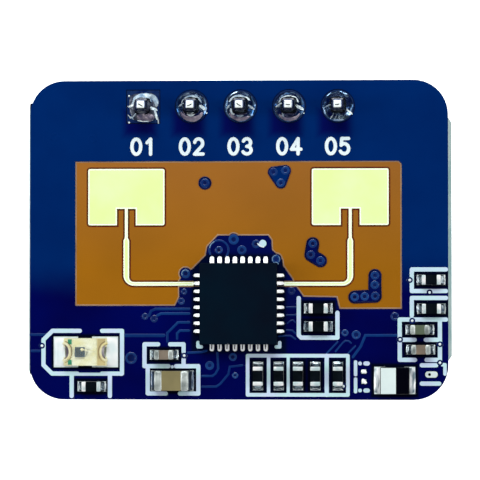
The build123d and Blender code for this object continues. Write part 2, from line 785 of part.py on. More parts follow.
# Capacitors
cups = []
capacitors = [(place, small_capacitor_size, small_capacitor_wrap) for place in small_capacitor_places]
capacitors.append((big_capacitor_place, big_capacitor_size, big_capacitor_wrap))
for number, ((x, y, turn), size, wrap) in enumerate(capacitors, 1):
    save(f"capacitor_{number}", on_front(chip_core(*size, wrap, belly=cap_skin / 2), x, y, turn))
    cups += [on_front(cup, x, y, turn) for cup in end_caps(*size, wrap)]
    beads = end_beads(size[0], size[1], size[2] * capacitor_solder_climb)
    front_beads += [on_front(bead, x, y, turn) for bead in beads]
    front_lands += placed(end_lands(size[0], size[1]), x, y, turn)
save("capacitor_end_caps", *cups)

# Indicator light
led_base, led_terminals, led_die, led_lens = led_pieces()
save("led_base", on_front(led_base, led_x, led_y))
save("led_terminals", *[on_front(piece, led_x, led_y) for piece in led_terminals])
save("led_die", on_front(led_die, led_x, led_y))
save("led_lens", on_front(led_lens, led_x, led_y))
for side, inset in ((-1, led_land_inset_left), (1, led_land_inset_right)):
    land_middle = side * (led_length / 2 + (led_land_reach - inset) / 2)
    front_lands.append((led_x + land_middle, led_y, led_land_reach + inset, led_land_width, 0))
    bead = solder_bead(
        led_land_width - 2 * led_solder_margin, led_left_end if side < 0 else led_right_end,
        led_land_reach - led_solder_margin, led_base_height * led_solder_climb,
    )
    turn = 0 if side > 0 else 180
    front_beads.append(on_front(Rot(0, 0, turn) * Pos(led_length / 2, 0, 0) * bead, led_x, led_y))

# Moulded diode
diode_body, diode_straps, diode_mark = diode_pieces()
save("diode_body", on_front(diode_body, *diode_place))
save("diode_terminals", *[on_front(strap, *diode_place) for strap in diode_straps])
save("diode_band", on_front(diode_mark, *diode_place))
diode_span = diode_length + 2 * diode_strap
front_lands += placed(
    end_lands(diode_span, diode_width, reach=diode_land_reach, inset=diode_foot), *diode_place
)
front_beads += [
    on_front(bead, *diode_place)
    for bead in end_beads(
        diode_span, diode_strap_width, diode_height * diode_solder_climb, diode_land_reach, diode_foot
    )
]

# Lands with no part on them
front_lands += [(x, y, spare_land_width, spare_land_depth, 0) for x, y in spare_land_places]
front_lands.append((*test_land, test_land_width, test_land_depth, test_land_depth * land_roundness))

# Back: controller, crystal, regulator and capacitors
controller_body, controller_metal, controller_solder = chip_pieces(
    controller_side, controller_side, controller_height, controller_leads_per_side,
    controller_lead_pitch, controller_lead_pitch, chip_pad_side,
)
save("controller_chip", on_back(controller_body, *controller_place))
save("controller_leads", *[on_back(piece, *controller_place) for piece in controller_metal])
back_beads += [on_back(piece, *controller_place) for piece in controller_solder]
back_lands += placed(
    chip_lands(
        controller_side, controller_side, controller_leads_per_side,
        controller_lead_pitch, controller_lead_pitch, chip_pad_side,
    ),
    *controller_place,
)
crystal_tub, crystal_lid = crystal_pieces()
save("crystal_case", on_back(crystal_tub, *crystal_place))
save("crystal_lid", on_back(crystal_lid, *crystal_place))
for side_x in (-1, 1):
    for side_y in (-1, 1):
        land_x = crystal_place[0] + side_x * (crystal_length - crystal_land_length) / 2
        land_y = crystal_place[1] + side_y * (crystal_width - crystal_land_width) / 2
        back_lands.append((land_x, land_y, crystal_land_length, crystal_land_width, 0))
        pad_solder = block(crystal_land_length, crystal_land_width, solder_film, 0, 0, copper_thickness)
        back_beads.append(on_back(pad_solder, land_x, land_y))
regulator_body, regulator_legs, regulator_lands, regulator_solder = regulator_pieces()
save("regulator_body", on_back(regulator_body, *regulator_place))
save("regulator_legs", *[on_back(leg, *regulator_place) for leg in regulator_legs])
back_lands += placed(regulator_lands, *regulator_place, flip=-1)
back_beads += [on_back(piece, *regulator_place) for piece in regulator_solder]
capacitor_bodies, cups = [], []
for x, y, turn in back_capacitor_places:
    size, wrap = small_capacitor_size, small_capacitor_wrap
    capacitor_bodies.append(on_back(chip_core(*size, wrap, belly=cap_skin / 2), x, y, turn))
    cups += [on_back(cup, x, y, turn) for cup in end_caps(*size, wrap)]
    beads = end_beads(size[0], size[1], size[2] * capacitor_solder_climb)
    back_beads += [on_back(bead, x, y, turn) for bead in beads]
    back_lands += placed(end_lands(size[0], size[1]), x, y, turn)
save("back_capacitors", *capacitor_bodies)
save("back_capacitor_end_caps", *cups)

# Lands, solder, board and films
save("front_lands", *[film(land_outline(*land), laminate_top, copper_thickness) for land in front_lands])
save("back_lands", *[
    film(land_outline(*land), laminate_bottom - copper_thickness, copper_thickness) for land in back_lands
])
save("front_solder", *front_beads)
save("back_solder", *back_beads)
save("board", board())
save("front_solder_mask", solder_mask(laminate_top, front_lands, window()))
save("back_solder_mask", solder_mask(laminate_bottom - mask_thickness, back_lands))
save("left_antenna", antenna(-1))
save("right_antenna", antenna(1))
save("silkscreen", ink())

# Header
save("header_strip", header_strip())
for place, x in enumerate(pin_places):
    save(f"header_pin_{place + 1}", header_pin(x))
    save(f"plated_hole_{place + 1}", plated_hole(place))
    save(f"pin_solder_{place + 1}", pin_solder(place))
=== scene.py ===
# %% [markdown]
# # A radar sensor board, dressed for the camera
# The CAD model arrives as a fixed frame: sixty named pieces at their real size, which are never moved or
# reshaped here. This lesson gives each of them its finish, and adds what is too fine for the CAD model: lines
# under the solder mask, solder that looks poured, numbers by the pins. Every place is in millimetres, in the
# frame's own axes, and is turned into metres at the last moment.

# %% Load the frame
import math

import bmesh
import bpy
from mathutils import Matrix, Vector, noise


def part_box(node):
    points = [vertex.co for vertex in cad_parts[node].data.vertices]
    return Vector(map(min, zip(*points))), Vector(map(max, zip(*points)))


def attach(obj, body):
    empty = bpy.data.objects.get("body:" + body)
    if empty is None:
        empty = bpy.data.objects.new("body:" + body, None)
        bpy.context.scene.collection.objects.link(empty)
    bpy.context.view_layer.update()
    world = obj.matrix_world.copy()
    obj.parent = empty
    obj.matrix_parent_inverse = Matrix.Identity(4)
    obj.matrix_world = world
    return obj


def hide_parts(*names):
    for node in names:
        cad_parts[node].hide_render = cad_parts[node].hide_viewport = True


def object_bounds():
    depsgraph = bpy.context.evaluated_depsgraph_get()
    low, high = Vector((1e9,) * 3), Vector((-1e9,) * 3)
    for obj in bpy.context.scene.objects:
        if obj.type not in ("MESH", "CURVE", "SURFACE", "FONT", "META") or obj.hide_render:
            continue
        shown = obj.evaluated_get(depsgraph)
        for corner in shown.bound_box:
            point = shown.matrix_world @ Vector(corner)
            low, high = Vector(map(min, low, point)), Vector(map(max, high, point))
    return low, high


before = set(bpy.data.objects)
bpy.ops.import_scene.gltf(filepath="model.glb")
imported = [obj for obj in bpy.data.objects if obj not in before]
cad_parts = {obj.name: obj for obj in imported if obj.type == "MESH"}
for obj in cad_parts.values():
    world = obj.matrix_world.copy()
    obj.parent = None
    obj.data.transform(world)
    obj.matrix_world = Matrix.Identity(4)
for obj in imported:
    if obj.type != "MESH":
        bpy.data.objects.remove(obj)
cad_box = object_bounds()
MM = 0.001  # metres in a millimetre
print("CAD nodes:", len(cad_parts))


# %% [markdown]
# ## Levels and middles
# A printed board is a stack of thin layers, so most of this lesson asks "how high is that layer?". The answers
# come from the CAD nodes themselves. If the CAD model changes, everything here follows it.

# %% Read levels and middles from the frame
def level(node, end):
    """The lowest (0) or highest (1) level of a CAD node, in millimetres."""
    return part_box(node)[end].z / MM


def middle(node):
    """The middle of a CAD node seen from above, in millimetres."""
    low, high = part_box(node)
    return (low.x + high.x) / 2 / MM, (low.y + high.y) / 2 / MM


def solids_of(node):
    """The lowest and highest corner of each separate solid of a CAD node, in millimetres."""
    form = bmesh.new()
    form.from_mesh(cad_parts[node].data)
    bmesh.ops.remove_doubles(form, verts=form.verts, dist=1e-7)
    boxes, met = [], set()
    for start in form.verts:
        if start in met:
            continue
        met.add(start)
        group, waiting = [], [start]
        while waiting:
            corner = waiting.pop()
            group.append(corner.co / MM)
            for edge in corner.link_edges:
                other = edge.other_vert(corner)
                if other not in met:
                    met.add(other)
                    waiting.append(other)
        boxes.append((
            Vector([min(point[axis] for point in group) for axis in range(3)]),
            Vector([max(point[axis] for point in group) for axis in range(3)]),
        ))
    form.free()
    return boxes


laminate_bottom = level("back_solder_mask", 1)
laminate_top = level("front_solder_mask", 0)
mask_top = level("front_solder_mask", 1)
copper_top = level("left_antenna", 1)
ink_top = level("silkscreen", 1)
film = 0.004  # a thin layer of mask, and how deep one layer sinks into the next
chip_x, chip_y = middle("radar_chip")
pins = [f"header_pin_{number}" for number in range(1, 6)]
pin_middles = [middle(pin) for pin in pins]
pin_top = level(pins[0], 1)
print("laminate", laminate_bottom, "to", laminate_top, "mask top", mask_top, "ink top", ink_top)


# %% [markdown]
# ## Shapes as points and faces
# A mesh is only a list of points and a list of faces that join them. The helpers below return such pairs for
# the few forms that a circuit board needs: a profile turned round an axis, a flat line with sloped sides, a
# box with rounded edges, a wire, a flat plate. Writing them by hand, and not with ready-made cubes and
# cylinders, keeps each edge where the real one has it and rounds the ones that catch light.

# %% Join shapes and turn a profile
def net(rows, columns, closed_rows=False, closed_columns=False):
    """Faces over a grid of points, row by row. A closed side joins its last points to its first."""
    faces = []
    for row in range(rows if closed_rows else rows - 1):
        here, after = row * columns, (row + 1) % rows * columns
        for i in range(columns if closed_columns else columns - 1):
            j = (i + 1) % columns
            faces.append([here + i, after + i, after + j, here + j])
    return faces


def joined(shapes):
    """Several shapes as one."""
    points, faces = [], []
    for more_points, more_faces in shapes:
        start = len(points)
        points += more_points
        faces += [[start + index for index in face] for face in more_faces]
    return points, faces


def lathe(profile, x, y, turns=40):
    """A closed outline of (radius, height) points turned round an upright axis at x, y."""
    points, count = [], len(profile)
    for turn in range(turns):
        angle = 2 * math.pi * turn / turns
        points += [(x + r * math.cos(angle), y + r * math.sin(angle), z) for r, z in profile]
    # A face between two points on the axis has no area, so it is left out
    off_axis = [radius > 0 for radius, height in profile]
    faces = [face for face in net(turns, count, True, True) if off_axis[face[0] % count] or off_axis[face[2] % count]]
    return points, faces


# %% Draw a flat line with sloped sides
def side_ways(line, closed):
    """At each point of a line, the way to its left, made longer at corners so that the width stays even."""
    ways = []
    for i, point in enumerate(line):
        runs = []
        if i or closed:
            runs.append((point - line[i - 1]).normalized())
        if i < len(line) - 1 or closed:
            runs.append((line[(i + 1) % len(line)] - point).normalized())
        left = sum((Vector((-run.y, run.x)) for run in runs), Vector((0, 0))) / len(runs)
        ways.append(left / max(left.length_squared, 0.3))
    return ways


def ribbon(line, width, low, high, slope, closed=False):
    """A flat line of one width between two heights. Its open ends are round."""
    line = [Vector(point) for point in line]
    half = width / 2
    stations = [(point, way, half) for point, way in zip(line, side_ways(line, closed))]
    if not closed:
        ends = []
        for end, neighbour in ((0, 1), (-1, -2)):
            outward = (line[end] - line[neighbour]).normalized()
            ends.append([
                (line[end] + outward * half * math.sin(angle), stations[end][1], half * math.cos(angle))
                for angle in map(math.radians, (30, 55, 75))
            ])
        stations = ends[0][::-1] + stations + ends[1]
    points = []
    for point, way, reach in stations:
        flat = max(reach - slope, reach * 0.25)
        for distance, height in ((reach, low), (flat, high), (-flat, high), (-reach, low)):
            place = point + way * distance
            points.append((place.x, place.y, height))
    faces = net(len(stations), 4, closed, True)
    if not closed:
        faces += [[0, 1, 2, 3], [len(points) - 4 + j for j in range(4)]]
    return points, faces


def arc(x, y, radius_x, radius_y, start, end, steps=10):
    """Points along part of an ellipse, from one angle to another in degrees."""
    angles = [math.radians(start + (end - start) * step / steps) for step in range(steps + 1)]
    return [(x + radius_x * math.cos(angle), y + radius_y * math.sin(angle)) for angle in angles]


# %% Round a box, bend a wire and cut a plate
def rounded_box(low, high, radius, steps=3):
    """A box between two corners, with all its edges rounded."""
    low, high = Vector(low), Vector(high)
    form = bmesh.new()
    bmesh.ops.create_cube(form, size=1.0)
    for corner in form.verts:
        corner.co = (low + high) / 2 + corner.co * (high - low)
    bmesh.ops.bevel(form, geom=list(form.edges), offset=radius, segments=steps, profile=0.5, affect="EDGES")
    form.verts.index_update()
    shape = [tuple(v.co) for v in form.verts], [[v.index for v in face.verts] for face in form.faces]
    form.free()
    return shape


def wire(line, radius, sides=8):
    """A round wire through points, with flat ends."""
    line = [Vector(point) for point in line]
    points = []
    for i, point in enumerate(line):
        along = (line[min(i + 1, len(line) - 1)] - line[max(i - 1, 0)]).normalized()
        across = along.cross(Vector((0, 0, 1)))
        across = across.normalized() if across.length > 1e-6 else Vector((0, 1, 0))
        upward = across.cross(along)
        for side in range(sides):
            angle = 2 * math.pi * side / sides
            place = point + (across * math.cos(angle) + upward * math.sin(angle)) * radius
            points.append(tuple(place))
    faces = net(len(line), sides, closed_columns=True)
    faces += [list(range(sides)), list(range(len(points) - sides, len(points)))]
    return points, faces


def slab(outline, low, high):
    """A flat plate with an outline, between two heights."""
    count = len(outline)
    points = [(x, y, z) for z in (low, high) for x, y in outline]
    return points, [list(range(count)), list(range(count, 2 * count)), *net(2, count, closed_columns=True)]


# %% Turn a shape into a piece
def make_piece(name, shapes, material, sharp_degrees=38):
    """Makes one mesh object from a list of shapes in millimetres, and lets it ride on the board."""
    points, faces = joined(shapes)
    mesh = bpy.data.meshes.new(name)
    mesh.from_pydata([[value * MM for value in point] for point in points], [], faces)
    form = bmesh.new()
    form.from_mesh(mesh)
    bmesh.ops.remove_doubles(form, verts=form.verts, dist=1e-8)
    bmesh.ops.recalc_face_normals(form, faces=form.faces)
    form.to_mesh(mesh)
    form.free()
    mesh.polygons.foreach_set("use_smooth", [True] * len(mesh.polygons))
    mesh.set_sharp_from_angle(angle=math.radians(sharp_degrees))
    mesh.materials.append(material)
    piece = bpy.data.objects.new(name, mesh)
    bpy.context.scene.collection.objects.link(piece)
    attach(piece, "root")
    print(f"{name}: {len(mesh.polygons)} faces")
    return piece


# %% [markdown]
# ## Colours as they show
# The photograph tells how a colour looks once it is lit, and a material wants the colour before light. Here
# the two differ by one number, the light that falls on a level surface. So each paint is written as it shows,
# in the 0 to 255 steps of a screen, and divided by that light.

# %% Write colours as they show
level_light = 1.5  # light on a level surface, as a share of what shows full white


def seen(red, green, blue, light=level_light):
    """The paint that shows as this screen colour on a level surface."""
    paint = []
    for step in (red, green, blue):
        share = step / 255
        linear = share / 12.92 if share < 0.04045 else ((share + 0.055) / 1.055) ** 2.4
        paint.append(linear / light)
    return (*paint, 1.0)


# %% Build node trees
def put(tree, kind, values=None, **settings):
    """Adds a shader node, with values for its sockets and settings for itself."""
    node = tree.nodes.new(f"ShaderNode{kind}")
    for key, value in settings.items():
        setattr(node, key, value)
    for key, value in (values or {}).items():
        node.inputs[key].default_value = value
    return node


def mix(tree, values=None, **settings):
    """Adds a mix of two colours: socket 0 is its share, 6 and 7 are the colours, and output 2 is the outcome."""
    return put(tree, "Mix", values, data_type="RGBA", **settings)


def wire_up(tree, *wires):
    """Joins sockets. Each wire is (node, its output, other node, its input)."""
    for source, output, target, socket in wires:
        tree.links.new(source.outputs[output], target.inputs[socket])


def new_group(name, output, **inputs):
    """A node group with one output. An input of three values is a vector, and one of four is a colour."""
    tree = bpy.data.node_groups.new(name, "ShaderNodeTree")
    for label, value in inputs.items():
        kind = {3: "Vector", 4: "Color"}[len(value)] if isinstance(value, tuple) else "Float"
        socket = tree.interface.new_socket(label.replace("_", " "), in_out="INPUT", socket_type=f"NodeSocket{kind}")
        socket.default_value = value
    kind = "Color" if output == "Colour" else "Float"
    tree.interface.new_socket(output, in_out="OUTPUT", socket_type=f"NodeSocket{kind}")
    return tree, tree.nodes.new("NodeGroupInput"), tree.nodes.new("NodeGroupOutput")


def new_material(name, paint, roughness, metallic=0.0, specular=0.5):
    """A material with one Principled shader. Returns the material, its tree and the shader."""
    material = bpy.data.materials.new(name)
    material.use_nodes = True
    shader = material.node_tree.nodes["Principled BSDF"]
    shader.inputs["Base Color"].default_value = paint
    shader.inputs["Roughness"].default_value = roughness
    shader.inputs["Metallic"].default_value = metallic
    shader.inputs["Specular IOR Level"].default_value = specular
    return material, material.node_tree, shader


# %% [markdown]
# ## Effects that many finishes share
# No real surface is one flat number. Six small groups bring that in, and each material places them with its
# own values: a slow drift between two tones, a fine grain that bends the reflections, streaks along one
# direction, a patchy polish, a mask for faces that look up, and a mask for a soft-edged rectangle. They read
# the piece's own coordinates, which are the same from every camera.

# %% Tone drift: a slow wander between two colours
drift_group, drift_in, drift_out = new_group(
    "Tone drift", "Colour", Tone=(1, 1, 1, 1), Other_Tone=(0, 0, 0, 1), Scale=500.0
)
place = put(drift_group, "TexCoord")
cloud = put(drift_group, "TexNoise", {"Detail": 3.0, "Roughness": 0.55})
spread = put(drift_group, "MapRange", {"From Min": 0.36, "From Max": 0.64})
blend = mix(drift_group)
wire_up(
    drift_group, (place, "Object", cloud, "Vector"), (drift_in, "Scale", cloud, "Scale"),
    (cloud, "Fac", spread, "Value"), (spread, "Result", blend, 0), (drift_in, "Tone", blend, 6),
    (drift_in, "Other Tone", blend, 7), (blend, 2, drift_out, "Colour"),
)

# %% Fine grain: a height for bumps
grain_group, grain_in, grain_out = new_group("Fine grain", "Height", Scale=4000.0, Coarse_Share=0.3)
place = put(grain_group, "TexCoord")
fine = put(grain_group, "TexNoise", {"Detail": 4.0, "Roughness": 0.6})
coarse_scale = put(grain_group, "Math", {1: 0.2}, operation="MULTIPLY")
coarse = put(grain_group, "TexNoise", {"Detail": 1.0})
both = put(grain_group, "Mix", data_type="FLOAT")
wire_up(
    grain_group, (place, "Object", fine, "Vector"), (place, "Object", coarse, "Vector"),
    (grain_in, "Scale", fine, "Scale"), (grain_in, "Scale", coarse_scale, 0), (coarse_scale, 0, coarse, "Scale"),
    (grain_in, "Coarse Share", both, 0), (fine, "Fac", both, 2), (coarse, "Fac", both, 3),
    (both, 0, grain_out, "Height"),
)

# %% Streaks: bars of light and dark along one direction
streak_group, streak_in, streak_out = new_group("Streaks", "Mask", Stretch=(1.0, 0.1, 0.1), Scale=4000.0)
place = put(streak_group, "TexCoord")
stretched = put(streak_group, "VectorMath", operation="MULTIPLY")
bars = put(streak_group, "TexNoise", {"Detail": 2.0, "Roughness": 0.5})
contrast = put(streak_group, "MapRange", {"From Min": 0.38, "From Max": 0.62})
wire_up(
    streak_group, (place, "Object", stretched, 0), (streak_in, "Stretch", stretched, 1),
    (stretched, 0, bars, "Vector"), (streak_in, "Scale", bars, "Scale"), (bars, "Fac", contrast, "Value"),
    (contrast, "Result", streak_out, "Mask"),
)

# %% Patchy polish: roughness that wanders between two values
polish_group, polish_in, polish_out = new_group("Patchy polish", "Roughness", Smooth=0.2, Rough=0.4, Scale=1500.0)
place = put(polish_group, "TexCoord")
worn = put(polish_group, "TexNoise", {"Detail": 3.0, "Roughness": 0.6})
between = put(polish_group, "MapRange", {"From Min": 0.35, "From Max": 0.65})
wire_up(
    polish_group, (place, "Object", worn, "Vector"), (polish_in, "Scale", worn, "Scale"),
    (worn, "Fac", between, "Value"), (polish_in, "Smooth", between, "To Min"),
    (polish_in, "Rough", between, "To Max"), (between, "Result", polish_out, "Roughness"),
)

# %% Level faces: a mask for what looks up
level_group, level_in, level_out = new_group("Level faces", "Mask", Steepest=0.8)
facing = put(level_group, "NewGeometry")
axes = put(level_group, "SeparateXYZ")
flat_enough = put(level_group, "Math", operation="GREATER_THAN")
wire_up(
    level_group, (facing, "Normal", axes, 0), (axes, "Z", flat_enough, 0), (level_in, "Steepest", flat_enough, 1),
    (flat_enough, 0, level_out, "Mask"),
)

# %% Soft rectangle: a mask for a rectangle with soft edges
patch_group, patch_in, patch_out = new_group(
    "Soft rectangle", "Mask", Middle=(0, 0, 0), Half_Size=(0.001, 0.001, 1), Softness=0.0002
)
place = put(patch_group, "TexCoord")
away = put(patch_group, "VectorMath", operation="SUBTRACT")
either_way = put(patch_group, "VectorMath", operation="ABSOLUTE")
beyond = put(patch_group, "VectorMath", operation="SUBTRACT")
axes = put(patch_group, "SeparateXYZ")
farther = put(patch_group, "Math", operation="MAXIMUM")
fade = put(patch_group, "MapRange", {"To Min": 1.0, "To Max": 0.0}, interpolation_type="SMOOTHSTEP")
wire_up(
    patch_group, (place, "Object", away, 0), (patch_in, "Middle", away, 1), (away, 0, either_way, 0),
    (either_way, 0, beyond, 0), (patch_in, "Half Size", beyond, 1), (beyond, 0, axes, 0), (axes, "X", farther, 0),
    (axes, "Y", farther, 1), (farther, 0, fade, "Value"), (patch_in, "Softness", fade, "From Max"),
    (fade, "Result", patch_out, "Mask"),
)

# %% Place the groups in a material
def use(tree, group, **values):
    """Places a group in a material's tree, with its values. Words in a name are joined by underscores."""
    node = put(tree, "Group")
    node.node_tree = group
    for key, value in values.items():
        node.inputs[key.replace("_", " ")].default_value = value
    return node


def drift(tree, shader, tone, other, scale):
    """Lets a material's colour wander between two tones."""
    node = use(tree, drift_group, Tone=tone, Other_Tone=other, Scale=scale)
    wire_up(tree, (node, "Colour", shader, "Base Color"))


def grain(tree, shader, scale, depth, coarse_share=0.3):
    """Gives a material a bumped grain. The depth is in millimetres."""
    height = use(tree, grain_group, Scale=scale, Coarse_Share=coarse_share)
    bump = put(tree, "Bump", {"Strength": 1.0, "Distance": depth * MM})
    wire_up(tree, (height, "Height", bump, "Height"), (bump, "Normal", shader, "Normal"))


def polish(tree, shader, smooth, rough, scale):
    """Lets a material's roughness wander."""
    node = use(tree, polish_group, Smooth=smooth, Rough=rough, Scale=scale)
    wire_up(tree, (node, "Roughness", shader, "Roughness"))


def streak(tree, shader, low, high, stretch, scale):
    """Lays streaks of two tones over a material. The stretch is small along the streaks."""
    bars = use(tree, streak_group, Stretch=stretch, Scale=scale)
    tint = mix(tree, {6: low, 7: high})
    wire_up(tree, (bars, "Mask", tint, 0), (tint, 2, shader, "Base Color"))


def dress(material, *nodes):
    """Gives CAD nodes a material."""
    for name in nodes:
        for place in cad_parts[name].material_slots:
            place.material = material
    print(f"{material.name}: on {len(nodes)} CAD nodes")


# %% Make a whole finish in one call
effect_makers = {"tones": drift, "streaks": streak, "polished": polish, "grained": grain}


def surface(name, colour, roughness, metallic=0.0, specular=0.5, light=level_light, on=(), **effects):
    """A whole material: a colour, effects that wander over it, and the CAD nodes that it goes on.

    A colour of three values is as it shows on a screen, and one of four is paint. The effects are
    tones=(colour, colour, scale), streaks=(colour, colour, stretch, scale), polished=(smooth, rough, scale)
    and grained=(scale, depth).
    """
    def painted(tone):
        return seen(*tone, light) if len(tone) == 3 else tone

    material, tree, shader = new_material(name, painted(colour), roughness, metallic, specular)
    for effect, values in effects.items():
        if effect in ("tones", "streaks"):
            values = painted(values[0]), painted(values[1]), *values[2:]
        effect_makers[effect](tree, shader, *values)
    dress(material, *on)
    return material


# %% Mask several rectangles at once
def patches(tree, boxes, softness):
    """One mask for several rectangles, each a low and a high corner in millimetres. Returns its last node."""
    mask = None
    for low, high in boxes:
        node = use(
            tree, patch_group, Middle=((low.x + high.x) / 2 * MM, (low.y + high.y) / 2 * MM, 0),
            Half_Size=((high.x - low.x) / 2 * MM, (high.y - low.y) / 2 * MM, 1), Softness=softness * MM,
        )
        if mask:
            more = put(tree, "Math", operation="MAXIMUM")
            wire_up(tree, (mask, 0, more, 0), (node, 0, more, 1))
            node = more
        mask = node
    return mask


# %% [markdown]
# ## Blue solder mask
# Solder mask is a thin lacquer. Where copper lies under it the blue is lighter, and over bare laminate it is
# nearly navy. On this board a ground plane fills the upper part and ends a little below the middle, so the
# colour changes with the place along Y, through a soft and slightly wandering edge.

# %% Solder mask
pour_edge = -8.9  # where the copper under the mask ends, along Y
pour_softness = 1.1
over_copper = seen(0, 34, 94)
mask_blue, tree, shader = new_material("Blue solder mask", over_copper, 0.2, specular=0.05)
upper = use(tree, drift_group, Tone=over_copper, Other_Tone=seen(0, 38, 100), Scale=260.0)
lower = use(tree, drift_group, Tone=seen(0, 6, 82), Other_Tone=seen(2, 3, 66), Scale=180.0)
position = put(tree, "TexCoord")
along = put(tree, "SeparateXYZ")
wander = put(tree, "TexNoise", {"Scale": 350.0, "Detail": 2.0})
wandered = put(tree, "Math", {1: 1.2 * MM, 2: -0.6 * MM}, operation="MULTIPLY_ADD")
edge = put(tree, "Math", operation="ADD")
share = put(
    tree, "MapRange",
    {"From Min": (pour_edge - pour_softness) * MM, "From Max": (pour_edge + pour_softness) * MM},
    interpolation_type="SMOOTHSTEP",
)
blend = mix(tree)
wire_up(
    tree, (position, "Object", along, 0), (position, "Object", wander, "Vector"), (wander, "Fac", wandered, 0),
    (along, "Y", edge, 0), (wandered, 0, edge, 1), (edge, 0, share, "Value"), (share, "Result", blend, 0),
    (lower, "Colour", blend, 6), (upper, "Colour", blend, 7),
)

# %% [markdown]
# ### Painted shade on the mask
# Shade is painted on the mask: nearly black between a small part and its outline, a shadow below the pins,
# darker round the chip's solder. Each such place is a soft rectangle that follows the box of a part with its
# solder. Painting a darker blue through those masks costs nothing in the mesh and moves with the CAD model.

# %% Painted shade on the mask
resistors = [f"resistor_{number}" for number in range(1, 11)]
small_parts = [*resistors, *[f"capacitor_{number}" for number in range(1, 5)], "led_base", "diode_body"]
beads = solids_of("front_solder")
# Painted shade round each small part: the box of the part with its solder, a little larger
painted_shades = []
for name in small_parts:
    low, high = (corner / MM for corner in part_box(name))
    for bead_low, bead_high in beads:
        if all(bead_low[a] < high[a] + 0.05 and bead_high[a] > low[a] - 0.05 for a in (0, 1)):
            low = Vector([min(low[a], bead_low[a]) for a in range(3)])
            high = Vector([max(high[a], bead_high[a]) for a in range(3)])
    painted_shades.append((low - Vector((0.1, 0.1, 0)), high + Vector((0.1, 0.1, 0))))
# A painted shadow below each pin
painted_pin_shadows = [(Vector((x - 0.7, y - 1.2)), Vector((x + 0.35, y - 0.5))) for x, y in pin_middles]
# A bare patch, then painted shade below the pins, round the chip's solder and round each small part
for boxes, softness, tone in (
    ([(Vector((-3.4, -10.5)), Vector((7.8, -5.6)))], 0.2, seen(3, 12, 76)),  # bare laminate below the mask
    (painted_pin_shadows, 0.6, seen(3, 10, 78)),
    ([tuple(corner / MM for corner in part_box("radar_chip_solder"))], 0.25, seen(2, 10, 40)),
    (painted_shades, 0.16, seen(2, 6, 26)),
):
    shaded = mix(tree, {7: tone})
    wire_up(tree, (patches(tree, boxes, softness), 0, shaded, 0), (blend, 2, shaded, 6))
    blend = shaded
wire_up(tree, (blend, 2, shader, "Base Color"))
grain(tree, shader, 900.0, 0.004, coarse_share=0.5)
dress(mask_blue, "front_solder_mask", "back_solder_mask")
print("dark patches round small parts:", len(painted_shades))

# %% [markdown]
# ## Bare laminate
# The board itself is glass cloth in resin. Sanded bare inside the antenna window it looks amber, its milled
# and snapped sides are a pale grey-green with the cloth's layers showing as fine lines, and in the narrow
# gaps round the lands it is painted nearly black as shade. One material carries all three, chosen by which
# way a face looks and where it lies.

# %% Laminate
window_low, window_high = Vector((-8.8, -10.75)), Vector((8.55, -2.7))
lead_reach = 2.45  # half the length of the chip with its lands
lead_spread = 1.62  # half the width that the lands take along a side

laminate, tree, shader = new_material("Glass cloth laminate", seen(161, 102, 28), 0.5, specular=0.06)
amber = use(tree, drift_group, Tone=seen(163, 103, 9), Other_Tone=seen(149, 94, 8), Scale=120.0)
amber_high = use(tree, drift_group, Tone=seen(159, 101, 36), Other_Tone=seen(148, 94, 34), Scale=120.0)
side = use(tree, drift_group, Tone=seen(150, 168, 166, 1.1), Other_Tone=seen(118, 150, 150, 1.1), Scale=700.0)
position = put(tree, "TexCoord")
axes = put(tree, "SeparateXYZ")
wire_up(tree, (position, "Object", axes, 0))


# %% Mask places on the laminate
def within(axis, low, high):
    """A mask for places between two values along an axis, in millimetres."""
    node = put(tree, "Math", {1: (low + high) / 2 * MM, 2: (high - low) / 2 * MM}, operation="COMPARE")
    wire_up(tree, (axes, axis, node, 0))
    return node


def combined(operation, first, second):
    """Two masks as one."""
    node = put(tree, "Math", operation=operation)
    wire_up(tree, (first, 0, node, 0), (second, 0, node, 1))
    return node


def round_chip(half_x, half_y):
    """A mask for a rectangle round the chip."""
    return combined(
        "MULTIPLY", within("X", chip_x - half_x, chip_x + half_x), within("Y", chip_y - half_y, chip_y + half_y)
    )


# %% Choose the tone of the laminate by its place
in_window = combined("MULTIPLY", within("X", window_low.x, window_high.x), within("Y", window_low.y, window_high.y))
by_side_leads = round_chip(lead_reach, lead_spread)
by_end_leads = round_chip(lead_spread, lead_reach + 0.11)
# Painted shade: the laminate round the chip's lands and round a pair of small parts is painted nearly black
by_pair = patches(tree, [(Vector((2.7, -12.4)), Vector((4.9, -10.05)))], 0.04)
in_painted_shade = combined("MAXIMUM", combined("MAXIMUM", by_side_leads, by_end_leads), by_pair)
amber_here = combined("SUBTRACT", in_window, in_painted_shade)
shade_or_amber = mix(tree, {6: seen(6, 10, 34)}, clamp_factor=True)
upwards = put(tree, "MapRange", {"From Min": -8.5 * MM, "From Max": -3.0 * MM})
both_ambers = mix(tree)
looks_up = use(tree, level_group, Steepest=0.8)
layers = put(tree, "TexWave", {"Scale": 2100.0, "Distortion": 1.5, "Detail": 2.0}, bands_direction="Z")
layered = mix(tree, {0: 0.35}, blend_type="MULTIPLY")
whole = mix(tree)
wire_up(
    tree, (amber_here, 0, shade_or_amber, 0), (axes, "Y", upwards, "Value"), (upwards, "Result", both_ambers, 0),
    (amber, "Colour", both_ambers, 6), (amber_high, "Colour", both_ambers, 7), (both_ambers, 2, shade_or_amber, 7),
    (position, "Object", layers, "Vector"), (side, "Colour", layered, 6), (layers, "Color", layered, 7),
    (looks_up, "Mask", whole, 0), (layered, 2, whole, 6), (shade_or_amber, 2, whole, 7),
    (whole, 2, shader, "Base Color"),
)
grain(tree, shader, 2500.0, 0.006, coarse_share=0.4)
dress(laminate, "board")

# %% [markdown]
# ## Plated copper
# The antennas are copper with a thin plating, bright enough to wash out to a pale yellow. A shader that is only
# a little metallic keeps that even glow from above, and still picks up the lights when the board is tilted.

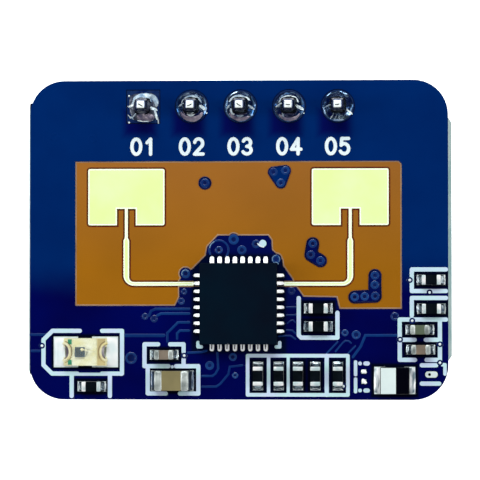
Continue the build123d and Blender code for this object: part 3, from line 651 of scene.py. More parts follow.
# %% Antenna metal
washed_out = level_light * 0.88  # the plating is so bright that it nearly burns out
surface(
    "Plated antenna copper", (226, 250, 176), 0.45, 0.12, tones=((227, 250, 180), (225, 249, 162), 400.0),
    grained=(5000.0, 0.002), light=washed_out, on=["left_antenna", "right_antenna"],
)
rim_metal = surface("Bright etched rim", (250, 255, 246), 0.45, 0.05, grained=(6000.0, 0.002), light=washed_out)
# The plated sleeves are painted dark blue, as a reflection of the board
surface(
    "Plated sleeve with a painted dark reflection", (4, 32, 88), 0.3, specular=0.15, tones=((3, 28, 82), (20, 48, 92), 1500.0),
    polished=(0.2, 0.4, 3000.0), grained=(5000.0, 0.003), on=[f"plated_hole_{number}" for number in range(1, 6)],
)

# %% [markdown]
# ## White ink
# The outlines are screen-printed, so the ink is matt, a little cool against the blue, and grainy at its
# surface where the mesh of the screen left it.

# %% Ink
surface(
    "White ink", (190, 226, 234), 0.6, specular=0.25, tones=((192, 230, 234), (202, 218, 244), 1100.0),
    grained=(7000.0, 0.006), on=["silkscreen"],
)
bright_ink = surface(
    "Bright white ink", (236, 249, 252), 0.55, specular=0.2, tones=((238, 250, 252), (224, 240, 246), 900.0),
    grained=(7000.0, 0.005),
)
surface(
    "White band on the diode", (221, 238, 236), 0.5, specular=0.2, tones=((223, 240, 237), (217, 233, 232), 900.0),
    grained=(6000.0, 0.003), on=["diode_band"],
)

# %% [markdown]
# ## Moulded resin and nylon
# The chips are black resin with a satin skin. The header strip is glass-filled nylon, which is a little
# shinier and shows faint flow marks.

# %% Black plastics
surface(
    "Black chip resin", (1, 18, 32), 0.55, specular=0.025, tones=((0, 19, 34), (3, 12, 27), 300.0),
    grained=(9000.0, 0.004), on=["radar_chip", "controller_chip", "regulator_body"],
)
surface("Black diode resin", (0, 1, 10), 0.5, specular=0.02, grained=(9000.0, 0.003), on=["diode_body"])
surface(
    "Black nylon", (14, 14, 16), 0.45, specular=0.22, streaks=((10, 10, 12), (20, 21, 23), (0.15, 1.0, 1.0), 1500.0),
    grained=(5000.0, 0.005), on=["header_strip"],
)

# %% [markdown]
# ## Tin, solder and pins
# Three metals lie side by side and must not look alike. The lands are dull white tin, solder is nearly a
# mirror with soft dents and painted dark blue as a reflection of the board, and the pins are cut wire: bright
# on the blunt ends and drawn smooth on their flanks, which are painted dark as shade, darkest below the cut.

# %% Metals
tinned = surface(
    "Tinned land", (238, 252, 252), 0.5, 0.35, polished=(0.35, 0.6, 2500.0), grained=(6000.0, 0.004),
    on=["front_lands", "back_lands"],
)
# The solder's dark blue tones are a painted reflection of the board round it
solder = surface(
    "Solder with a painted blue reflection", (0.16, 0.24, 0.38, 1), 0.2, 1.0, tones=((0.03, 0.1, 0.24, 1), (0.28, 0.38, 0.48, 1), 1100.0),
    polished=(0.14, 0.3, 2500.0), grained=(2500.0, 0.008),
    on=["back_solder", *[f"pin_solder_{n}" for n in range(1, 6)]],
)
lead_solder = surface(
    "Solder on chip leads", (0.9, 0.93, 0.94, 1), 0.4, 0.2, polished=(0.3, 0.5, 5000.0), grained=(5000.0, 0.006),
    on=["radar_chip_solder"],
)
surface(
    "Tinned leads", (0.85, 0.88, 0.89, 1), 0.35, 0.2,
    streaks=((0.5, 0.55, 0.58, 1), (0.92, 0.95, 0.96, 1), (1.0, 0.12, 0.3), 5000.0), grained=(6000.0, 0.005),
    on=["radar_chip_leads", "controller_leads", "regulator_legs"],
)

# %% [markdown]
# ### Tin on the ends of small parts
# A dipped end is painted light on top, where it catches the light, and painted dark on its flanks, as shade
# and the mirrored blue board. Real tin would need the whole room to be right, so one material paints both
# sides of it, chosen by which way a face looks.

# %% End cap metals
cap_metal, tree, shader = new_material("Tin end caps", (0.5, 0.5, 0.5, 1), 0.45, 0.3)
on_top = use(tree, level_group, Steepest=0.72)
streaks = use(tree, streak_group, Stretch=(0.6, 0.6, 0.3), Scale=4200.0)
# Painted light on the top faces, painted shade and reflection on the flanks
painted_lit_top = mix(tree, {6: seen(196, 218, 220), 7: seen(255, 255, 255)})
sides = mix(tree, {6: seen(96, 112, 122)})
wire_up(
    tree, (streaks, "Mask", painted_lit_top, 0), (painted_lit_top, 2, sides, 7), (on_top, "Mask", sides, 0),
    (sides, 2, shader, "Base Color"),
)
grain(tree, shader, 6000.0, 0.004)
dress(cap_metal, "resistor_end_caps")

grey_cap = surface(
    "Dipped end caps", (170, 180, 178), 0.35, 0.45, tones=((142, 152, 150), (226, 236, 232), 1600.0),
    grained=(5000.0, 0.005), on=["capacitor_end_caps", "back_capacitor_end_caps"],
)
# %% Solder in its tones
# The fillets' dark tones are a painted reflection of the board round them
fillet_solder = surface(
    "Hollow solder with a painted dark reflection", (0.12, 0.15, 0.19, 1), 0.25, 1.0, tones=((0.03, 0.05, 0.08, 1), (0.34, 0.4, 0.42, 1), 2600.0),
    grained=(5000.0, 0.006),
)
deep_solder = surface(
    "Solder in shade", (0.05, 0.07, 0.11, 1), 0.3, 1.0, tones=((0.01, 0.02, 0.05, 1), (0.07, 0.1, 0.15, 1), 2200.0),
    grained=(5000.0, 0.004),
)
white_solder = surface(
    "White solder", (242, 255, 255), 0.45, 0.0, streaks=((226, 243, 244), (252, 255, 255), (0.5, 0.5, 0.3), 2200.0),
    grained=(3000.0, 0.004),
)
streaked_solder = surface(
    "Streaked solder", (232, 248, 250), 0.4, 0.35,
    streaks=((120, 142, 154), (0.92, 0.95, 0.95, 1), (1.0, 0.3, 0.3), 4200.0), grained=(5000.0, 0.006),
    on=["diode_terminals", "front_solder"],
)

# %% Pin wire
pin_metal, tree, shader = new_material("Drawn pin wire", (0.7, 0.72, 0.7, 1), 0.28, 1.0)
cut_face = use(tree, level_group, Steepest=0.95)
rough_cut = put(tree, "Mix", {2: 0.24, 3: 0.6}, data_type="FLOAT")
flank_or_cut = mix(tree, {7: (0.74, 0.79, 0.78, 1)})
position = put(tree, "TexCoord")
axes = put(tree, "SeparateXYZ")
near_cut = put(tree, "MapRange", {"From Min": (pin_top - 0.5) * MM, "From Max": (pin_top - 0.12) * MM})
# The flanks are painted dark as shade, darkest just below the cut
painted_shade_below_cut = mix(tree, {6: (0.3, 0.3, 0.28, 1), 7: (0.04, 0.05, 0.08, 1)})
wire_up(
    tree, (cut_face, "Mask", rough_cut, 0), (rough_cut, 0, shader, "Roughness"), (position, "Object", axes, 0),
    (axes, "Z", near_cut, "Value"), (near_cut, "Result", painted_shade_below_cut, 0), (painted_shade_below_cut, 2, flank_or_cut, 6),
    (cut_face, "Mask", flank_or_cut, 0), (flank_or_cut, 2, shader, "Base Color"),
)
grain(tree, shader, 4000.0, 0.004)
dress(pin_metal, *pins)

# %% [markdown]
# ## Small parts
# Each ceramic body has its own colour, as parts from different reels do. The resistors have a black glaze on
# top of white ceramic, so their colour depends on whether a face looks up.

# %% Ceramics
for name, tone, other in (
    ("capacitor_1", (136, 124, 108), (118, 106, 94)),
    ("capacitor_2", (104, 116, 92), (84, 97, 78)),
    ("capacitor_3", (133, 117, 99), (112, 100, 88)),
    ("capacitor_4", (136, 126, 86), (126, 117, 80)),
):
    surface(
        f"Ceramic of {name}", tone, 0.42, specular=0.35, tones=(tone, other, 900.0), grained=(6000.0, 0.004),
        on=[name],
    )

surface(
    "Ceramic of back capacitors", (140, 122, 92), 0.42, tones=((142, 124, 92), (122, 106, 82), 500.0),
    grained=(6000.0, 0.004), on=["back_capacitors"],
)

resistor_body, tree, shader = new_material("Glazed resistor", seen(4, 9, 14), 0.3, specular=0.1)
on_top = use(tree, level_group, Steepest=0.8)
glaze = use(tree, drift_group, Tone=seen(2, 7, 11), Other_Tone=seen(10, 17, 25), Scale=1200.0)
sides = mix(tree, {6: seen(190, 192, 190)})
wire_up(tree, (on_top, "Mask", sides, 0), (glaze, "Colour", sides, 7), (sides, 2, shader, "Base Color"))
grain(tree, shader, 6000.0, 0.003)
dress(resistor_body, *resistors)

surface(
    "Crystal tub", (58, 52, 46), 0.5, tones=((60, 54, 48), (46, 42, 38), 700.0), grained=(6000.0, 0.004),
    on=["crystal_case"],
)
surface(
    "Crystal lid", (0.78, 0.76, 0.72, 1), 0.3, 1.0, polished=(0.25, 0.4, 900.0), grained=(5000.0, 0.003),
    on=["crystal_lid"],
)

# %% [markdown]
# ## Indicator light
# A light like this one is a scrap of pale board with gilded ends, a die no larger than a grain of sand and a
# block of clear resin cast over it. The resin is left nearly transparent, so that the die shows through it.

# %% Light materials
surface(
    "Pale light base", (250, 252, 222), 0.5, specular=0.3, tones=((252, 255, 230), (240, 236, 176), 1200.0),
    grained=(6000.0, 0.004), on=["led_base"],
)
gold = surface(
    "Gilded ends", (250, 244, 192), 0.4, 0.35, polished=(0.28, 0.45, 2500.0), grained=(5000.0, 0.003),
    on=["led_terminals"],
)
surface(
    "Light die", (38, 86, 116), 0.4, specular=0.1, tones=((44, 92, 120), (22, 60, 92), 3000.0),
    grained=(8000.0, 0.002), on=["led_die"],
)

clear_resin, tree, shader = new_material("Clear casting resin", seen(250, 255, 232), 0.1)
shader.inputs["Alpha"].default_value = 0.1
polish(tree, shader, 0.05, 0.2, 2000.0)
grain(tree, shader, 1500.0, 0.004)
dress(clear_resin, "led_lens")

# %% [markdown]
# ## Softer edges on moulded parts
# Nothing moulded has a razor edge. The CAD bodies have exact ones, so a bevel modifier rounds what is shown
# and leaves the CAD mesh as it is. The frame's meshes arrive with split corners, which a weld closes first.

# %% Bevels
edge_rounding = {
    "radar_chip": 0.03, "controller_chip": 0.03, "regulator_body": 0.05, "diode_body": 0.05,
    "header_strip": 0.06, "crystal_case": 0.03, "crystal_lid": 0.03, "led_base": 0.01, "led_lens": 0.04,
    "capacitor_4": 0.05, "capacitor_1": 0.03, "capacitor_2": 0.03, "capacitor_3": 0.03,
}
edge_rounding |= dict.fromkeys(pins, 0.1)
for name, radius in edge_rounding.items():
    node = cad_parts[name]
    weld = node.modifiers.new("close split corners", "WELD")
    weld.merge_threshold = 1e-7
    bevel = node.modifiers.new("round edges", "BEVEL")
    bevel.width = radius * MM
    bevel.segments = 3
    bevel.limit_method = "ANGLE"
    bevel.angle_limit = math.radians(30)
    bevel.harden_normals = False
print("rounded:", len(edge_rounding), "nodes")

# %% [markdown]
# ## Rims of the bare window
# Mask thins out at the edge of an opening and leaves a pale line on the laminate, and etched copper has a
# bright edge with a dark undercut beside it. These lines follow outlines that the CAD already has, so they
# are read from the walls of its films: each wall face gives one short run and the way that it looks.


# %% Read the outlines of a film
def wall_loops(node, low):
    """The outlines of a film, each a list of (point, outward way) in order round the wall's foot."""
    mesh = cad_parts[node].data
    runs = {}
    for face in mesh.polygons:
        if abs(face.normal.z) > 0.1:
            continue
        feet = {
            (round(mesh.vertices[i].co.x / MM, 3), round(mesh.vertices[i].co.y / MM, 3))
            for i in face.vertices
            if abs(mesh.vertices[i].co.z / MM - low) < 0.002
        }
        if len(feet) == 2:
            runs[frozenset(feet)] = face.normal.xy.normalized()
    ends = {}
    for run in runs:
        for end in run:
            ends.setdefault(end, []).append(run)
    loops, left = [], set(runs)
    while left:
        run = min(left, key=lambda pair: sorted(pair))
        start, end = sorted(run)
        left.discard(run)
        loop, ways = [start, end], [runs[run]]
        while end != start:
            onward = [after for after in ends[end] if after in left]
            if not onward:
                break
            left.discard(onward[0])
            ways.append(runs[onward[0]])
            end = next(iter(onward[0] - {end}))
            loop.append(end)
        corners = []
        for i, point in enumerate(loop[:-1]):
            way = (ways[i - 1] + ways[i]) / 2
            corners.append((Vector(point), way / max(way.length_squared, 0.3)))
        loops.append(corners)
    return loops


def loop_size(loop):
    """Middle, width and depth of an outline."""
    across = [point.x for point, way in loop]
    along = [point.y for point, way in loop]
    return (
        Vector(((min(across) + max(across)) / 2, (min(along) + max(along)) / 2)),
        max(across) - min(across), max(along) - min(along),
    )


def beside(loop, start, end, low, high):
    """A thin band along an outline, between two distances out from its wall."""
    line = [point + way * (start + end) / 2 for point, way in loop]
    return ribbon(line, abs(end - start), low, high, abs(end - start) * 0.2, closed=True)


# %% Rims
chip_middle = Vector((chip_x, chip_y))
board_width = 18  # an outline as wide as this is the board's own
island_width = 3  # narrower outlines in the window are islands
window_loops = []
for loop in wall_loops("front_solder_mask", laminate_top):
    centre, width, depth = loop_size(loop)
    inside = window_low.x < centre.x < window_high.x and window_low.y < centre.y < window_high.y
    land = min(width, depth) < 0.6 or ((centre - chip_middle).length < 0.5 and width < 4)
    if inside and not land and width < board_width:
        window_loops.append(loop)
print("outlines in the window:", len(window_loops))

pale_rim = surface(
    "Thinned mask edge", (164, 132, 106), 0.5, specular=0.2, tones=((168, 138, 110), (136, 108, 90), 600.0),
)
painted_edge_shade = surface("Painted shade at a mask edge", (2, 12, 56), 0.25, specular=0.15, tones=((3, 18, 70), (1, 8, 42), 900.0))
undercut = surface("Dark undercut", (92, 24, 4), 0.6, specular=0.1, tones=((104, 34, 6), (74, 10, 4), 800.0))
rim_width, island_shade_width, dark_width, bright_width = 0.07, 0.09, 0.085, 0.08  # of the four bands
wide_loops = [loop for loop in window_loops if loop_size(loop)[1] > island_width]
island_loops = [loop for loop in window_loops if loop_size(loop)[1] < island_width]
antenna_loops = [loop for side in ("left", "right") for loop in wall_loops(f"{side}_antenna", laminate_top)]

# Islands of mask have no pale line. Their edge carries a band of painted shade, where they look nearly black.
for name, loops, start, end, low, high, material, slot_name in (
    ("window_rim", wide_loops, 0.0, rim_width, laminate_top, laminate_top + 0.008, pale_rim, "solder_mask"),
    ("island_edges", island_loops, -island_shade_width, -film, mask_top - film, mask_top + film, painted_edge_shade, "solder_mask"),
    ("antenna_undercut", antenna_loops, 0.0, dark_width, laminate_top, laminate_top + 0.006, undercut, "laminate"),
    ("antenna_rim", antenna_loops, -bright_width, -film, copper_top - 0.01, copper_top + film, rim_metal,
     "plated_copper"),
):
    make_piece(name, [beside(loop, start, end, low, high) for loop in loops], material)

# %% [markdown]
# ## Lines and vias under the mask
# Copper lines lift the mask by a hair and lighten it. They are drawn here as flat ribbons with sloped sides,
# a few hundredths of a millimetre high, because a slope catches the light as the real line does. A via is a
# plated hole that the mask runs into: a raised ring with a dark dimple.

# %% Line and via finishes
line_blue = surface(
    "Mask over a line", (5, 46, 108), 0.3, specular=0.12, tones=((8, 54, 116), (3, 36, 98), 500.0),
    grained=(1500.0, 0.004),
)
ring_blue = surface(
    "Mask over a via ring", (8, 44, 108), 0.22, specular=0.3, tones=((18, 62, 124), (3, 30, 92), 700.0),
    grained=(1500.0, 0.004),
)
dimple_blue = surface("Dimple in the mask", (4, 22, 82), 0.25, specular=0.3, tones=((5, 30, 92), (2, 10, 62), 900.0))

# %% Lines
line_rise, line_slope = 0.014, 0.05
line_spread = 0.03  # how much wider than its copper a line shows in the mask
front_lines = [
    (0.13, [(-2.68, -10.56), (-4.42, -10.56), (-4.66, -10.66), (-4.76, -10.9)]),
    (0.13, [(-2.68, -10.8), (-4.14, -10.8), (-4.33, -10.9)]),
    (0.12, [(-2.68, -11.26), (-3.25, -11.26), (-3.81, -11.81), (-3.81, -12.26)]),
    (0.12, [(-2.68, -11.69), (-3.16, -11.69), (-3.3, -11.83), (-3.3, -12.1)]),
    (0.17, [(-6.05, -11.94), (-4.0, -11.94)]), (0.11, [(-1.78, -12.74), (-1.98, -12.8), (-2.72, -12.84)]),
    (0.11, [(-1.2, -12.86), (-1.15, -13.66), (-1.3, -13.93), (-1.46, -14.05), (-1.98, -14.05)]),
    (0.11, [(0.08, -13.49), (-0.55, -13.57), (-0.62, -13.95), (-1.04, -14.45), (-1.26, -14.6), (-1.98, -14.61)]),
    (0.13, [(8.2, -11.93), (6.5, -11.93), (6.26, -12.5), (5.86, -13.05)]), (0.08, [(5.97, -12.5), (5.62, -12.85)]),
    (0.08, [(5.75, -12.32), (5.62, -12.22), (5.46, -12.21), (5.3, -12.34), (4.96, -12.76)]),
    (0.08, [(5.05, -12.28), (4.5, -12.86)]), (0.08, [(2.42, -10.47), (2.92, -10.47)]),
    (0.08, [(2.42, -10.88), (2.92, -10.88)]), (0.06, [(2.46, -11.3), (2.6, -11.18), (2.74, -11.14), (2.86, -11.26)]),
    (0.08, [(2.42, -11.66), (2.7, -11.68), (2.9, -11.86)]),
    (0.08, [(2.0, -11.98), (2.35, -11.95), (2.62, -11.96), (2.86, -12.12)]),
    (0.13, [(-10.95, -11.9), (-10.05, -11.9)]), (0.13, [(-10.9, -12.75), (-10.5, -12.75)]),
]
make_piece(
    "lines_under_mask",
    [
        ribbon(line, width + line_spread, mask_top - film, mask_top + line_rise, line_slope)
        for width, line in front_lines
    ],
    line_blue,
)


# %% Shape a via
def via_ring(x, y, outer, inner, base, rise):
    """The raised ring round a via."""
    crest, half_crest = (outer + inner) / 2, 0.02
    profile = [
        (inner, base - film), (inner, base + rise * 0.3), (crest - half_crest, base + rise),
        (crest + half_crest, base + rise), (outer, base + rise * 0.2), (outer, base - film),
    ]
    return lathe(profile, x, y, 32)


def via_dimple(x, y, radius, base):
    """The dark floor inside a via's ring."""
    return lathe([(0.0, base - film), (0.0, base + 0.002), (radius, base + film), (radius, base - film)], x, y, 24)


# %% Vias
vias = [
    (-1.6, -13.5, 0.23, 0.1), (-0.39, -13.06, 0.21, 0.1), (-0.27, -14.02, 0.16, 0.07), (-3.08, -10.16, 0.18, 0.08),
    (-4.5, -11.07, 0.19, 0.09), (-4.97, -10.95, 0.17, 0.08), (-5.7, -13.12, 0.31, 0.2), (5.44, -11.8, 0.18, 0.09),
    (6.02, -11.9, 0.23, 0.12), (8.03, -10.95, 0.22, 0.12),
    (-1.12, -7.49, 0.2, 0.1), (-0.35, -6.94, 0.27, 0.12), (0.08, -7.49, 0.24, 0.11), (0.82, -7.18, 0.22, 0.1),
    (-2.86, -8.72, 0.24, 0.11), (1.86, -7.97, 0.24, 0.11), (-2.93, -9.66, 0.16, 0.07), (2.66, -9.62, 0.2, 0.09),
]
island_vias = [
    (-1.85, -3.99), (1.72, -3.43), (2.35, -3.35), (2.11, -4.0), (3.77, -7.16), (3.67, -7.74), (4.17, -8.05),
    (7.0, -8.82), (6.99, -9.31), (7.01, -9.89), (6.47, -9.91), (5.95, -9.94),
]
vias += [(x, y, 0.22, 0.1) for x, y in island_vias]
rings = [via_ring(x, y, outer, inner, mask_top, 0.018) for x, y, outer, inner in vias]
make_piece("via_rings", rings, ring_blue)
dimples = [via_dimple(x, y, inner, mask_top) for x, y, outer, inner in vias]
make_piece("via_dimples", dimples, dimple_blue)
# Two vias under the upper left corner are flooded with mask and hardly show
flooded = [via_ring(x, y, 0.24, 0.1, mask_top, 0.01) for x, y in ((-9.73, -1.58), (-7.74, -1.66))]
make_piece("flooded_vias", flooded, mask_blue)

# %% Glints and a wide ring of mask
# Two rings beside the chip catch the light on one side
glint = surface(
    "Glint on a via ring", (120, 158, 186), 0.25, specular=0.5, tones=((150, 184, 204), (60, 100, 144), 2500.0),
)
make_piece(
    "ring_glints",
    [
        ribbon(arc(x, y, radius, radius, start, end, 12), 0.06, mask_top - 0.002, mask_top + 0.026, 0.022)
        for x, y, radius, start, end in (
            (1.86, -7.97, 0.19, 95, 215), (1.86, -7.97, 0.19, 330, 400), (1.84, -8.27, 0.14, 20, 150),
            (-2.86, -8.72, 0.19, 40, 200), (-1.12, -7.49, 0.5, 120, 165),
        )
    ],
    glint,
)
# A wide ring of mask lies round the via nearest the chip's first lead
make_piece(
    "wide_mask_arc",
    [ribbon(arc(-1.12, -7.49, 0.5, 0.5, 205, -40, 24), 0.12, mask_top - film, mask_top + line_rise, 0.035)],
    line_blue,
)

# %% [markdown]
# ## Ink that met a via
# Where a printed outline crosses a via, the ink breaks: a dark ring of mask shows round a drop of ink on the
# via's cap. Each drop is a small dome on a dark collar, set on top of the printed line.

# %% Ink drops
drops = [
    (-10.37, -12.48), (8.81, -9.06), (9.83, -9.7), (8.93, -11.17), (8.3, -12.15), (10.36, -12.39), (10.36, -13.35),
    (5.36, -14.57), (-2.93, -12.99),
]
collar_radius, drop_radius = 0.18, 0.075
collar_top = ink_top + film
collar = [(0.0, mask_top), (0.0, collar_top), (collar_radius - 0.03, collar_top), (collar_radius, mask_top)]
make_piece("drop_collars", [lathe(collar, x, y, 28) for x, y in drops], dimple_blue)
dome = [(0.0, ink_top), (0.0, ink_top + 0.03), (drop_radius * 0.6, ink_top + 0.024), (drop_radius, ink_top)]
make_piece("ink_drops", [lathe(dome, x, y, 24) for x, y in drops], bright_ink)

# The dot beside the chip was printed with a smear at its lower left
make_piece(
    "dot_smear", [ribbon([(0.92, -7.17), (1.02, -7.28), (1.2, -7.33)], 0.09, mask_top, ink_top + 0.001, 0.015)],
    bright_ink,
)

# %% [markdown]
# ## Numbers by the pins
# Makers print a label beside every pin. Here each label is a plain number, drawn with strokes of one width
# and round ends, as a plotter would draw it. A stroke is a list of points in a box that is one high, so each
# number is only a few lines long.

# %% Numbers
number_height, number_width, number_stroke = 0.79, 0.46, 0.185
number_gap = 0.26  # between the two figures of a number
number_middle_y = -2.09
digit_strokes = {
    0: [arc(0.5, 0.5, 0.5, 0.5, 90, 450, 28)[:-1]],
    1: [[(0.16, 0.76), (0.56, 1.0)], [(0.56, 1.0), (0.56, 0.0)]],
    2: [[*arc(0.5, 0.7, 0.46, 0.3, 165, -32, 14), (0.1, 0.04)], [(0.04, 0.0), (1.0, 0.0)]],
    3: [arc(0.46, 0.75, 0.42, 0.25, 155, -90, 14), arc(0.46, 0.25, 0.48, 0.25, 90, -155, 14)],
    4: [[(0.74, 0.0), (0.74, 1.0)], [(0.74, 1.0), (0.0, 0.3)], [(0.0, 0.3), (1.05, 0.3)]],
    5: [[(0.92, 1.0), (0.16, 1.0)], [(0.16, 1.0), (0.1, 0.56)],
        [(0.1, 0.56), *arc(0.44, 0.33, 0.5, 0.33, 118, -150, 16)]],
}


def figure(digit, x, y):
    """One figure with its lower left corner at x, y. Each stroke lies a hair above the one before."""
    strokes = []
    for i, stroke in enumerate(digit_strokes[digit]):
        line = [(x + u * number_width, y + v * number_height) for u, v in stroke]
        strokes.append(ribbon(line, number_stroke, mask_top, ink_top + 0.001 * i, 0.012, closed=digit == 0))
    return joined(strokes)


figures = []
for number, (pin_x, pin_y) in enumerate(pin_middles, 1):
    low_y = number_middle_y - number_height / 2
    figures.append(figure(0, pin_x - number_width - number_gap / 2, low_y))
    figures.append(figure(number, pin_x + number_gap / 2, low_y))
make_piece("pin_numbers", figures, bright_ink)

# %% [markdown]
# ## Solder on the pins
# Solder wets the land and the pin and hangs between them in a hollow cone. It never sets evenly, so the cone
# gets slow dents before its normals are worked out: a mirror shows the smallest dent as a bent reflection.
# The first joint was fed too cold. It kept the square of its land and set in ridges.


# %% Shape a solder joint
land_thickness = 0.035
land_level = laminate_top + land_thickness
cone_collar, cone_height = 0.44, 1.0
seed_step = 7.3  # sets the dents of each joint apart from the next


def cone_column(angle, seed, square):
    """The surface of a joint at one angle: radius and height, from the rim of the land up to the pin."""
    steps, belly = 22, 0.18  # a belly of 0.5 would be a straight flank, and a smaller one is hollow
    foot = 0.72 if square else 0.79  # the land's radius, or half its side
    dent, ridge = (0.17, 1.8) if square else (0.07, 1.5)  # depth of the dents, and how many to a millimetre
    c, s = math.cos(angle), math.sin(angle)
    column = []
    for step in range(steps + 1):
        t = step / steps
        radius = (1 - t) ** 2 + 2 * t * (1 - t) * belly
        rise = t * t + 2 * t * (1 - t) * belly
        out = foot
        if square:
            rounded = 1 / (abs(c) ** 4 + abs(s) ** 4) ** (1 / 4)
            ragged = 1 + 0.16 * noise.noise(Vector((c * 1.9, s * 1.9, 4.1)))
            out = foot * (1 + (rounded * ragged - 1) * (1 - t) ** 0.8)
            rise = rise * 0.8 + 0.22 * math.sin(math.pi * min(1, t * 1.6)) ** 2 * (1 - t)
        r = cone_collar + (out - cone_collar) * radius
        z = land_level + cone_height * rise
        calm = math.sin(math.pi * min(1.0, t * 1.15)) ** 0.5 if 0 < t * 1.15 < 1 else 0.0
        spot = Vector((c * r * ridge, s * r * ridge, z * ridge + seed))
        wave = noise.noise(spot * 1.3) + 0.35 * noise.noise(spot * 3.1)
        column.append((r + dent * wave * calm * 0.6, z + dent * wave * calm))
    return column


def joint(x, y, seed, square=False):
    """Solder from the back land, through the hole, up to the pin. It has a square hole for the pin."""
    hole, half_pin = 0.515, 0.321  # the radius of the plated hole, and half the pin with a hair of room
    bottom = laminate_bottom - land_thickness
    turns = 96
    points = []
    for turn in range(turns):
        angle = 2 * math.pi * turn / turns
        c, s = math.cos(angle), math.sin(angle)
        corner = 1 / max(abs(c), abs(s))
        column = [(half_pin * corner, bottom), (hole, bottom), (hole, land_level)]
        column += cone_column(angle, seed, square)
        column.append((half_pin * corner, land_level + cone_height))
        points += [(x + c * r, y + s * r, z) for r, z in column]
    return points, net(turns, len(column), True, True)


# %% Solder joints
cold_solder = surface(
    "Cold solder", (70, 84, 108), 0.35, 0.4, tones=((120, 128, 140), (8, 22, 64), 1500.0),
    grained=(3000.0, 0.006, 0.5),
)
for number, (pin_x, pin_y) in enumerate(pin_middles, 1):
    first = number == 1
    soldered = make_piece(
        f"pin_joint_{number}", [joint(pin_x, pin_y, number * seed_step, first)], cold_solder if first else solder,
        sharp_degrees=50,
    )
    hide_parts(f"pin_solder_{number}")

# %% [markdown]
# ### Painted black shade
# Shade is painted black in thin bands: a seam where each pin leaves the solder, and lines beside the chip's
# leads. They stand a hair above the metal, so they show from any side, and a little noise keeps the seams
# from being drawn too neatly.

# %% Painted shade round the pins
shade_and_shear_black = surface("Painted black shade and shear marks", (4, 7, 14), 0.35, specular=0.1, tones=((2, 4, 9), (16, 20, 30), 2500.0))
seam_level = land_level + cone_height
pin_flank = 0.355  # from a pin's middle to the seam beside it
seams = []
for number, (pin_x, pin_y) in enumerate(pin_middles, 1):
    line = []
    for step in range(24):
        angle = 2 * math.pi * step / 24
        c, s = math.cos(angle), math.sin(angle)
        reach = pin_flank / (abs(c) ** 6 + abs(s) ** 6) ** (1 / 6)
        reach += 0.03 + 0.035 * noise.noise(Vector((c * 1.4, s * 1.4, number * 3.3)))
        line.append((pin_x + c * reach + 0.015, pin_y + s * reach - 0.015))
    lowered = seam_level - (0.18 if number == 1 else 0.0)
    seams.append(ribbon(line, 0.1, lowered - 0.12, lowered + 0.006, 0.03, closed=True))
make_piece("pin_shade_seams", seams, shade_and_shear_black)

# %% Painted shade on the chip's leads
# Painted shade lies along one edge of each lead at the chip's sides, and in a slit down each lead below it
lead_shade_lines = []
for low, high in solids_of("radar_chip_solder"):
    centre, size = (low + high) / 2, high - low
    if max(size.x, size.y) > 0.8:  # the land in the middle
        continue
    if size.x > size.y:
        edge_y = low.y + 0.022
        line = [(low.x + 0.04, edge_y + 0.03), (low.x + 0.1, edge_y)]
        line += [(high.x - 0.1, edge_y), (high.x - 0.04, edge_y + 0.03)]
        width = 0.06
    elif centre.y < chip_y:
        line, width = [(centre.x - 0.01, low.y + 0.13), (centre.x + 0.015, high.y - 0.1)], 0.055
    else:
        continue
    lead_shade_lines.append(ribbon(line, width, high.z - 0.05, high.z + 0.004, 0.012))
make_piece("lead_shades", lead_shade_lines, shade_and_shear_black)
print("flux lines:", len(lead_shade_lines))

# %% Threads, beads and shear marks
# The first joint left threads and beads of solder on its land
first_x, first_y = pin_middles[0]
threads = [
    ribbon([(first_x + x, first_y + y) for x, y in line], width, mask_top - 0.02, mask_top + 0.05, 0.025)
    for width, line in (
        (0.06, [(-0.8, 0.02), (-0.7, 0.03)]), (0.06, [(-0.78, -0.44), (-0.66, -0.6)]),
        (0.07, [(0.72, -0.5), (0.78, -0.7), (0.8, -0.86)]),
    )
]
for x, y, radius in (-0.74, 0.56, 0.06), (-0.74, -0.83, 0.055):
    bead = [(0.0, mask_top - 0.02), (0.0, mask_top + 0.06), (radius * 0.6, mask_top + 0.048), (radius, mask_top)]
    threads.append(lathe(bead, first_x + x, first_y + y, 16))
make_piece("solder_threads", threads, tinned)

# Shear marks on the cut ends of the pins
shear_marks = []
for number, (pin_x, pin_y) in enumerate(pin_middles, 1):
    lean = 0.05 * math.sin(number * 2.4)
    line = [(pin_x + x, pin_y + y) for x, y in ((-0.09, -0.02 + lean), (0.0, -0.045), (0.08, -0.05 - lean))]
    shear_marks.append(ribbon(line, 0.075, pin_top - 0.01, pin_top + 0.0004, 0.012))
make_piece("shear_marks", shear_marks, shade_and_shear_black)

# %% [markdown]
# ## Ripples in the solder
# Solder shrinks as it sets and freezes in ripples. Each ripple here is a small ridge laid over its cone, and
# its colour is one of three kinds of painted light: a glint, a grey reflection and a purple reflection. The
# height of the cone under every point of it comes from the same function that shaped the cone, so a ripple
# follows the dents below it.


# %% Lay a ridge over a joint
def solder_height(x, y, seed, square):
    """How high a joint stands at a place given from the middle of its pin."""
    column = cone_column(math.atan2(y, x), seed, square)
    reach = math.hypot(x, y)
    if reach >= column[0][0]:
        return column[0][1]
    for (outer, low), (inner, high) in zip(column, column[1:]):
        if inner <= reach <= outer:
            return low + (high - low) * (outer - reach) / max(outer - inner, 1e-6)
    return column[-1][1]


def smooth_line(line, spacing=0.035):
    """A line with its corners cut twice, then points at an even spacing."""
    line = [Vector(point) for point in line]
    for _ in range(2):
        if len(line) > 2:
            cut = [line[0]]
            for here, after in zip(line, line[1:]):
                cut += [here.lerp(after, 0.25), here.lerp(after, 0.75)]
            line = cut + [line[-1]]
    total = sum((after - here).length for here, after in zip(line, line[1:]))
    count = max(6, int(total / spacing))
    placed, run, index = [], 0.0, 0
    for step in range(count + 1):
        goal = total * step / count
        while index < len(line) - 2 and run + (line[index + 1] - line[index]).length < goal:
            run += (line[index + 1] - line[index]).length
            index += 1
        length = max((line[index + 1] - line[index]).length, 1e-9)
        placed.append(line[index].lerp(line[index + 1], min(1.0, (goal - run) / length)))
    return placed


